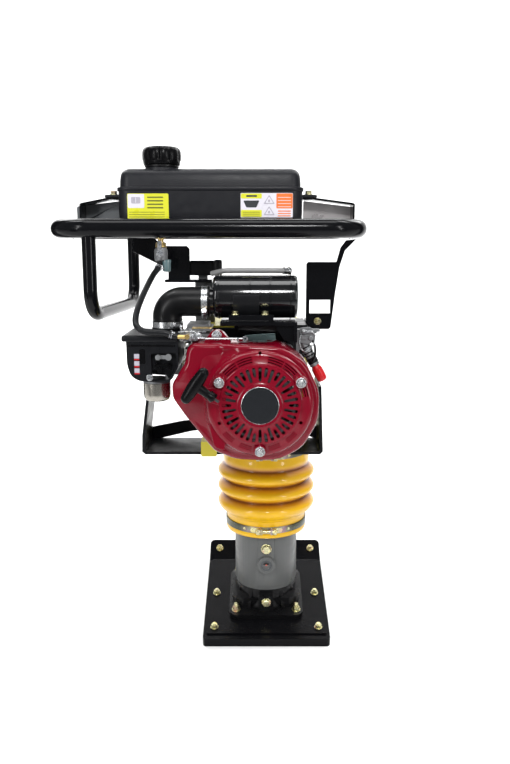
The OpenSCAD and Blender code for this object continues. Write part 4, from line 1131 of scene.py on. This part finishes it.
def hose_clamp(at, axis, lug):
    """Worm-drive band with its screw housing at the lug's direction."""
    radius, width = 0.0292, 0.0115
    m = frame_of(at, axis, lug)
    band = turned([(radius, -width / 2), (radius + 0.0008, -width / 2), (radius + 0.0008, width / 2),
        (radius, width / 2)], 64, at, axis)
    lips = [turned([(radius, a), (radius + 0.0014, a), (radius + 0.0014, a + 0.0008), (radius, a + 0.0008)],
        64, at, axis) for a in (-width / 2, width / 2 - 0.0008)]
    slots = []
    for k in range(14):
        t = math.radians(16 + 5 * k)
        c = Vector((math.cos(t), math.sin(t), 0))
        s = Vector((-math.sin(t), math.cos(t), 0))
        a, b = c * (radius + 0.0009) - s * 0.0006, c * (radius + 0.0013) + s * 0.0006
        slots.append(([a + UP * 0.0028, b + UP * 0.0028, b - UP * 0.0028, a - UP * 0.0028,
            a * 0.995 + UP * 0.0028, b * 0.99 + UP * 0.0028, b * 0.99 - UP * 0.0028, a * 0.995 - UP * 0.0028],
            [(0, 1, 2, 3), (7, 6, 5, 4), (0, 4, 5, 1), (1, 5, 6, 2), (2, 6, 7, 3), (3, 7, 4, 0)]))
    screw = turned([(0.0042, -0.009), (0.0046, -0.008), (0.0046, 0.005), (0.0032, 0.0055), (0.0032, 0.0075),
        (0.0058, 0.0078), (0.0058, 0.0125), (0.0048, 0.0135), (1e-4, 0.0135)], 24, (radius + 0.0052, 0, 0),
        (0, -1, 0))
    housing = box((radius + 0.0004, -0.006, -width * 0.42), (radius + 0.0062, 0.008, width * 0.42))
    local = merge(*slots, screw, housing)
    return merge(band, *lips, moved(local, m))


def hose_clamps():
    """Both clamps of the elbow."""
    pipe = hose_clamp((ELBOW_X, ELBOW_Y, 0.709), UP, (0.66, -0.75, 0))
    neck = hose_clamp((-0.124, ELBOW_Y, NECK_Z), RIGHT, (0, -0.72, -0.69))
    piece("clamp_bands", merge(pipe, neck), ZINC_BRIGHT, ["hose_clamps"], bevel=0.0004,
        sharp=40)


intake_box()
carburettor()
canister()
elbow()
hose_clamps()

# ---- fuel line ----

HOSE_ROUTE = [(-0.22, -0.151, 0.829), (-0.221, -0.153, 0.822), (-0.225, -0.164, 0.813),
    (-0.231, -0.19, 0.801), (-0.24, -0.23, 0.776), (-0.246, -0.27, 0.753), (-0.248, -0.305, 0.734),
    (-0.245, -0.33, 0.72), (-0.238, -0.341, 0.712), (-0.229, -0.3435, 0.7075), (-0.218, -0.344, 0.7055),
    (-0.205, -0.344, 0.705), (-0.193, -0.344, 0.7045), (-0.183, -0.344, 0.702), (-0.175, -0.3435, 0.699),
    (-0.168, -0.343, 0.698)]


def fuel_line():
    """Hose from the cock to the carburettor, with its two clips."""
    path = smooth_path(HOSE_ROUTE, 5)
    hose = piece("fuel_line", tube(path, 0.006, 24), HOSE, ["fuel_hose"], sharp=60)
    clips = []
    for k in (8, -9):
        p, way = path[k], (path[k + 1] - path[k - 1]).normalized()
        m = frame_of(p, way, (1, -0.6, 0))
        wire = [m @ Vector((0.0068 * math.cos(a), 0.0068 * math.sin(a), 0.0018 * a / math.pi - 0.002))
            for a in (math.radians(20 + 680 * j / 40) for j in range(41))]
        ears = [m @ Vector((0.0115, 0.004 * s, 0.0018 * s)) for s in (1, -1)]
        clips.append(tube([ears[0]] + wire + [ears[1]], 0.0009, 8))
    wires = piece("hose_clips", merge(*clips), ZINC_BRIGHT)


def cock():
    """Fuel cock with its fittings and cup."""
    x, y = -0.218, -0.15
    top = turned([(0.006, 0.866), (0.006, 0.874), (0.0095, 0.8745), (0.0095, 0.878), (0.0085, 0.879),
        (0.0085, 0.8835), (1e-4, 0.8835)], 32, (x, y, 0))
    nut = hexagon(0.019, 0.01, (x, y, 0.8575), UP, 0.0112)
    piece("cock_fittings", merge(top, nut), BRASS, bevel=0.0006)
    body = turned([(0.0105, 0.8295), (0.0132, 0.832), (0.0136, 0.838), (0.0136, 0.8505), (0.0125, 0.854),
        (0.009, 0.8572), (1e-4, 0.8572)], 40, (x, y, 0))
    spout = turned([(0.0062, 0.818), (0.0068, 0.82), (0.0062, 0.823), (0.0062, 0.832)], 24, (x - 0.002, y, 0))
    piece("cock_body", merge(body, spout), CAST_ALUMINIUM, ["fuel_cock"], bevel=0.0006)
    cup = turned([(1e-4, 0.8075), (0.006, 0.8078), (0.0082, 0.8098), (0.0086, 0.814), (0.0086, 0.826),
        (0.0092, 0.8265), (0.0092, 0.8318), (0.0078, 0.8325)], 32, (-0.207, y, 0))
    piece("cock_cup", cup, CUP)


fuel_line()
cock()

# ---- sight glass, clamps and leg details ----


def leg_details():
    """Rim, nut, lens and float of the oil sight glass."""
    z = 0.133
    rim = turned_forward([(0.0128, 0.07), (0.0212, 0.07), (0.0214, 0.078), (0.0206, 0.0803), (0.019, 0.081),
        (0.0172, 0.0806), (0.0166, 0.079), (0.0136, 0.0788), (0.013, 0.078)], 0, z, 64)
    piece("sight_rim", rim, LEG_GRAY, body="lower_unit", sharp=50)
    nut = turned_forward([(0.0066, 0.0775), (0.013, 0.0775), (0.013, 0.079), (0.0122, 0.0798), (0.0088, 0.08),
        (0.008, 0.079), (0.0066, 0.0785)], 0, z, 56)
    piece("sight_nut", nut, DARK_METAL, body="lower_unit", sharp=40)
    lens = turned_forward([(0.0082, 0.077), (0.0078, 0.0788), (0.005, 0.0797), (1e-4, 0.08)], 0, z, 40)
    piece("sight_eye", lens, LENS, ["sight_glass"], body="lower_unit", sharp=50)
    dot = turned_forward([(0.0024, 0.079), (0.0022, 0.0799), (1e-4, 0.0802)], 0, z + 0.0015, 20)
    piece("sight_float", dot, LENS_RED, body="lower_unit")


def clamp_details(name, body, radius, z):
    """Bridge, swivel bolt and nut of a band clamp, with its spot welds."""
    front = -radius - 0.002
    parts = []
    for s in (-1, 1):
        m = Matrix.Rotation(math.radians(4 * s), 4, "Z")
        trunnion = turned([(0.0048, -0.0062), (0.0048, 0.0062), (0.004, 0.007), (1e-4, 0.007)], 24,
            (s * 0.0115, front - 0.0065, z), UP)
        parts.append(moved(trunnion, m))
        strap = [(s * 0.01, z - 0.0055), (s * 0.034, z - 0.0055), (s * 0.037, z), (s * 0.034, z + 0.0055),
            (s * 0.01, z + 0.0055)]
        flat = plate(strap, 0, -0.0014, 0.002)
        verts = []
        for v in flat[0]:
            a = v[0] / radius
            q = radius + 0.0021 - v[1]
            verts.append((q * math.sin(a), -q * math.cos(a), v[2]))
        parts.append((verts, flat[1]))
        for w in (0.052 * s, 0.03 * s):
            a = w / radius
            at = ((radius + 0.0016) * math.sin(a), -(radius + 0.0016) * math.cos(a), z)
            parts.append(turned([(0.0034, 0), (0.0034, 0.0006), (0.0028, 0.001), (0.0022, 0.0004),
                (1e-4, 0.0004)], 20, at, (math.sin(a), -math.cos(a), 0)))
    rod = tube([(-0.026, front - 0.0065, z), (0.024, front - 0.0065, z)], 0.0029, 20)
    nut = hexagon(0.0098, 0.0065, (0.0165, front - 0.0065, z), RIGHT, 0.0058)
    head = hexagon(0.0098, 0.0055, (-0.0185, front - 0.0065, z), -RIGHT)
    threads = coil((0.0165, front - 0.0065, z), RIGHT, 0.0029, 0.0085, 7, 0.0004, 6)
    piece(name, merge(*parts, rod, nut, head, threads), ZINC_YELLOW, body=body, bevel=0.0004,
        sharp=40)


leg_details()
clamp_details("lower_clamp_bolt", "lower_unit", 0.0927, 0.2245)
clamp_details("upper_clamp_bolt", "upper_unit", 0.0982, 0.3985)

# ---- handle details ----


def weld_bead(points):
    """Rippled weld along a path."""
    radius, pitch = 0.0022, 0.0035
    path = [Vector(p) for p in points]
    total = sum((b - a).length for a, b in zip(path, path[1:]))
    steps = max(12, int(total / 0.0009))
    fine, legs = [], [(b - a).length for a, b in zip(path, path[1:])]
    for k in range(steps + 1):
        want, i = total * k / steps, 0
        while i < len(legs) - 1 and want > legs[i]:
            want -= legs[i]
            i += 1
        fine.append(path[i].lerp(path[i + 1], min(1, want / legs[i])))
    return tube(fine, lambda t: radius * (0.86 + 0.2 * math.sin(t * total / pitch * math.pi) ** 2), 10)


def handle_details():
    """Welds of the rails, feet and hoop."""
    beads = []
    low, high = span("handle_frame")
    for end, s in ((low.x + RAIL_R, 1), (high.x - RAIL_R, -1)):
        for y in (-0.091, -0.039):
            beads.append(weld_bead([(end + s * 0.004, y, RAIL_Z - RAIL_R + 0.0005),
                (end + s * 0.018, y, RAIL_Z - 0.006), (end + s * 0.021, y, RAIL_Z - 0.002)]))
        beads.append(weld_bead([(end + s * RAIL_R, -0.09, RAIL_Z + 0.001),
            (end + s * RAIL_R, -0.04, RAIL_Z + 0.001)]))
    for x in (-0.262, 0.03):
        for y in (-0.19, 0.19):
            for side in (-0.02, 0.02):
                beads.append(weld_bead([(x + side, y - 0.012, RAIL_Z - 0.0105),
                    (x + side, y + 0.012, RAIL_Z - 0.0105)]))
    for s in (-1, 1):
        top = Matrix.Rotation(math.radians(-4.5), 4, "Z") @ Vector((0, s * 0.186, 0))
        cx, cy = low.x + RAIL_R + 0.085 + top.x, top.y
        beads.append(weld_bead([(cx + 0.0145 * math.cos(a), cy + 0.0145 * math.sin(a),
            RAIL_Z - 0.0165 + 0.004 * abs(math.sin(a)) ** 2) for a in (2 * math.pi * k / 24
            for k in range(25))]))
    piece("frame_welds", merge(*beads), GLOSS_BLACK, sharp=80)


def strap_gussets():
    """Plates where the tank straps meet the rails; the right one carries a bright, blotchy finish as a
    painted reflection, the left one stays dark.
    """
    low, high = span("handle_frame")
    left = [(low.x + 0.02, 0.897), (low.x + 0.036, 0.897), (low.x + 0.036, 0.944), (-0.315, 0.9555),
        (-0.315, 0.9105), (-0.36, 0.897)]
    right = [(high.x - 0.022, 0.897), (high.x - 0.022, 0.943), (0.078, 0.9555), (0.078, 0.905)]
    piece("strap_gusset_left", plate(left, -0.042, -0.044, 0.004), DARK_METAL, bevel=0.0005)
    piece("strap_gusset_right", plate(right, -0.042, -0.044, 0.004), GUSSET_REFLECTION, bevel=0.0005)


handle_details()
strap_gussets()

# ---- screws of the engine covers ----


def cover_screws():
    """Three screws of the starter cover, and the fan cover's."""
    shapes = []
    for a in SCREW_ANGLES:
        x, z = on_cover(SCREW_CIRCLE, a)
        at = (x, -0.4, z)
        shapes.append(hexagon(0.0112, 0.0066, at, FRONT, 0.0092))
        shapes.append(turned([(0.0034, 0.0), (0.0034, 0.0072), (0.0026, 0.0076), (1e-4, 0.007)], 24, at,
            FRONT))
    at = (-0.097, -0.322, 0.697)
    shapes.append(hexagon(0.0122, 0.0072, at, FRONT, 0.0094))
    shapes.append(turned([(0.0036, 0.0), (0.0036, 0.0078), (0.0028, 0.0081), (1e-4, 0.0076)], 24, at, FRONT))
    piece("flange_screws", merge(*shapes), ZINC_BRIGHT, ["cover_bolts"], bevel=0.0005,
        segments=3)


cover_screws()

# ---- stop switch ----


def stop_switch():
    """Switch with its boot, cap, spring, lead and case."""
    tilt = math.radians(151.8)
    at = Vector((0.067, -0.25, 0.676))
    way = Vector((math.sin(tilt), 0, math.cos(tilt)))
    ribs = [turned([(0.0096, a), (0.0106, a + 0.0008), (0.0106, a + 0.0022), (0.0096, a + 0.003)], 40, at,
        way) for a in (0.01, 0.016, 0.022, 0.028)]
    collar = turned([(0.0095, 0.034), (0.0106, 0.035), (0.0106, 0.0455), (0.01, 0.0465), (0.0086, 0.0465)],
        40, at, way)
    piece("switch_boot", merge(*ribs, collar), RUBBER, sharp=40)
    profile = [(0.0078, 0.052), (0.0084, 0.056), (0.01, 0.059), (0.0104, 0.069), (0.01, 0.082),
        (0.0088, 0.0855), (0.006, 0.0868), (1e-4, 0.087)]
    piece("stop_cap", turned(profile, 40, at, way, lambda a, h: 1 + 0.03 * math.cos(10 * a) * (h > 0.056)),
        RED_PLASTIC, ["stop_button"], body="button", sharp=50)
    wire = smooth_path([(0.063, -0.264, 0.694), (0.06, -0.269, 0.676), (0.068, -0.273, 0.66),
        (0.079, -0.272, 0.666), (0.088, -0.27, 0.676), (0.092, -0.266, 0.688), (0.085, -0.264, 0.697)], 8)
    lead = smooth_path([(0.084, -0.26, 0.684), (0.09, -0.264, 0.668), (0.09, -0.264, 0.65),
        (0.086, -0.258, 0.638)], 8)
    piece("switch_spring", merge(tube(wire, 0.0012, 10), coil((0.066, -0.268, 0.698), RIGHT, 0.003, 0.02, 8,
        0.0006)), ZINC_BRIGHT)
    piece("switch_lead", tube(lead, 0.0024, 12), RUBBER)
    case = plate([(0.0605, 0.676), (0.0605, 0.704), (0.08, 0.706), (0.0905, 0.698), (0.0905, 0.68),
        (0.078, 0.672)], -0.2545, -0.2625, 0.004)
    studs = [hexagon(0.009, 0.0035, (0.0685, -0.2625, 0.697), FRONT, 0.0062),
        hexagon(0.0075, 0.003, (0.082, -0.2625, 0.684), FRONT, 0.005),
        box((0.064, -0.2655, 0.682), (0.074, -0.262, 0.69))]
    piece("switch_case", merge(case, *studs), CAST_ALUMINIUM, bevel=0.001)


stop_switch()

# ---- breather pipe and braided sleeve over the canister ----


def breather():
    """Braided pipe over the canister, its ferrule, the mount bush and the engine flange."""
    path = rounded_path([(-0.112, -0.196, 0.806), (-0.085, -0.215, 0.8125), (0.02, -0.215, 0.8125),
        (0.04, -0.205, 0.8115)], 0.012)
    piece("breather_pipe", tube(path, 0.0052, 20), BRAID, sharp=60)
    way = (path[-1] - path[-2]).normalized()
    start = path[-1] - way * 0.012
    ferrule = turned([(0.0054, 0), (0.007, 0.0006), (0.007, 0.008), (0.0058, 0.009), (0.0058, 0.011),
        (0.0076, 0.012), (0.0076, 0.016), (0.005, 0.0175), (1e-4, 0.0175)], 28, start, way)
    piece("breather_ferrule", ferrule, BRIGHT, sharp=40)
    bush = rounded_slab(-0.17, -0.104, -0.06, -0.028, 0.006, [(0.7965, 0.003), (0.798, 0.0008), (0.801, 0),
        (0.822, 0), (0.826, 0.0012), (0.8285, 0.004)])
    cap = rounded_slab(-0.116, -0.098, -0.064, -0.024, 0.006, [(0.7955, 0.003), (0.797, 0.0008), (0.8, 0),
        (0.826, 0), (0.829, 0.0012), (0.8305, 0.004)])
    piece("mount_bush", merge(bush, cap), RUBBER, sharp=50)
    flange = merge(box((-0.118, -0.1135, 0.625), (0.086, -0.1088, 0.6885)),
        box((-0.07, -0.1125, 0.6925), (0.086, 0.04, 0.6945)), box((-0.07, -0.1135, 0.688),
        (0.086, -0.1088, 0.6945)), box((0.0835, -0.1125, 0.636), (0.086, 0.06, 0.6945)))
    piece("engine_flange", flange, SATIN_BLACK, bevel=0.001)


breather()

# ---- rear ----


def rear():
    """Drain plug, blank plate and muffler louvres."""
    y = span("crankcase_cover")[1].y - 0.008
    plug = hexagon(0.019, 0.007, (0.052, y, 0.43), -FRONT, 0.0125)
    piece("crankcase_plug", plug, ZINC_BRIGHT, bevel=0.0006)
    piece("data_plate", plate(rect(-0.052, 0.02, 0.556, 0.596), y + 0.0008, y, 0.003), BRIGHT)
    m_low, m_high = span("muffler")
    fins = []
    for k in range(7):
        z = m_low.z + (m_high.z - m_low.z) * (0.2 + 0.1 * k)
        fins.append(box((m_high.x - 0.0005, m_low.y + 0.016, z), (m_high.x + 0.0015, m_high.y - 0.016,
            z + 0.003)))
    piece("muffler_louvres", merge(*fins), DARK_METAL, bevel=0.0008)


rear()

# ---- floor, light ----


def stage_sheet(name, profile, x0, x1, material):
    """Sheet that follows a (y, z) profile from x0 to x1."""
    rings = [[(x, y, z) for x in (x0, x1)] for y, z in profile]
    verts, faces = quads(rings, closed=False, cap=False)
    mesh = bpy.data.meshes.new(name)
    mesh.from_pydata([tuple(v) for v in verts], [], faces)
    mesh.shade_smooth()
    obj = bpy.data.objects.new(name, mesh)
    bpy.context.scene.collection.objects.link(obj)
    mesh.materials.append(material)
    return obj


def softbox(name, at, target, size, power):
    """Area light at a place, turned to its target."""
    light = bpy.data.lights.new(name, "AREA")
    light.shape = "RECTANGLE"
    light.size, light.size_y = size
    light.energy = power
    obj = bpy.data.objects.new(name, light)
    obj.location = at
    obj.rotation_euler = (Vector(target) - Vector(at)).to_track_quat("-Z", "Y").to_euler()
    bpy.context.scene.collection.objects.link(obj)


back, bend, rise = 3.2, 1.2, 5.0
sweep = [(-4.5, 0.0), (back - bend, 0.0)]
sweep += [(back - bend + bend * math.sin(a), bend - bend * math.cos(a))
    for a in (math.pi / 2 * k / 12 for k in range(1, 13))]
sweep.append((back, rise))
stage_sheet("floor", sweep, -6.0, 6.0, surface("floor_paper", (0.93, 0.93, 0.93), 0.75, vary=0.01, grain=200,
    grain_depth=0.00005, patch=1, specular=0.2))
world = bpy.data.worlds.new("world")
bpy.context.scene.world = world
world.use_nodes = True
settings(world.node_tree.nodes["Background"], Color=(0.95, 0.97, 1, 1), Strength=0.27)
FLAG = surface("flag_cloth", (0.01, 0.01, 0.01), 0.9, specular=0.1)
for x, side in ((-1, "left"), (1, "right")):
    for y, near, place in ((-1.1, 1.2, "flag_"), (0.35, 0.62, "side_")):
        sheet = stage_sheet(place + side, [(y, 0.05), (y, 1.75)], x * near, x * (near + 0.7), FLAG)
        sheet.visible_camera = False
        sheet.visible_shadow = False
CENTRE = (0, 0, 0.55)
softbox("key", (-1.75, -1.75, 1.6), (0, 0, 0.6), (0.45, 1.7), 38)
softbox("fill", (1.75, -1.75, 1.5), (0, 0, 0.55), (0.35, 1.7), 27)
softbox("brow", (0.1, -2.0, 2.6), (0, 0, 0.5), (0.4, 0.3), 34)
softbox("top", (0, 0.1, 2.9), CENTRE, (1.8, 0.9), 28)
softbox("hair", (0.15, 1.95, 2.6), (0, 0.1, 0.1), (1.3, 0.2), 14)
softbox("rim_left", (-1.5, 2.0, 2.2), CENTRE, (0.8, 1.2), 24)
softbox("rim_right", (1.6, 2.0, 2.2), CENTRE, (0.8, 1.2), 24)
softbox("backdrop_left", (-1.6, 0.9, 3.2), (-0.8, 3.2, 1.0), (1.2, 0.8), 60)
softbox("backdrop_right", (1.6, 0.9, 3.2), (0.8, 3.2, 1.0), (1.2, 0.8), 60)
bpy.context.scene.view_settings.view_transform = "Standard"
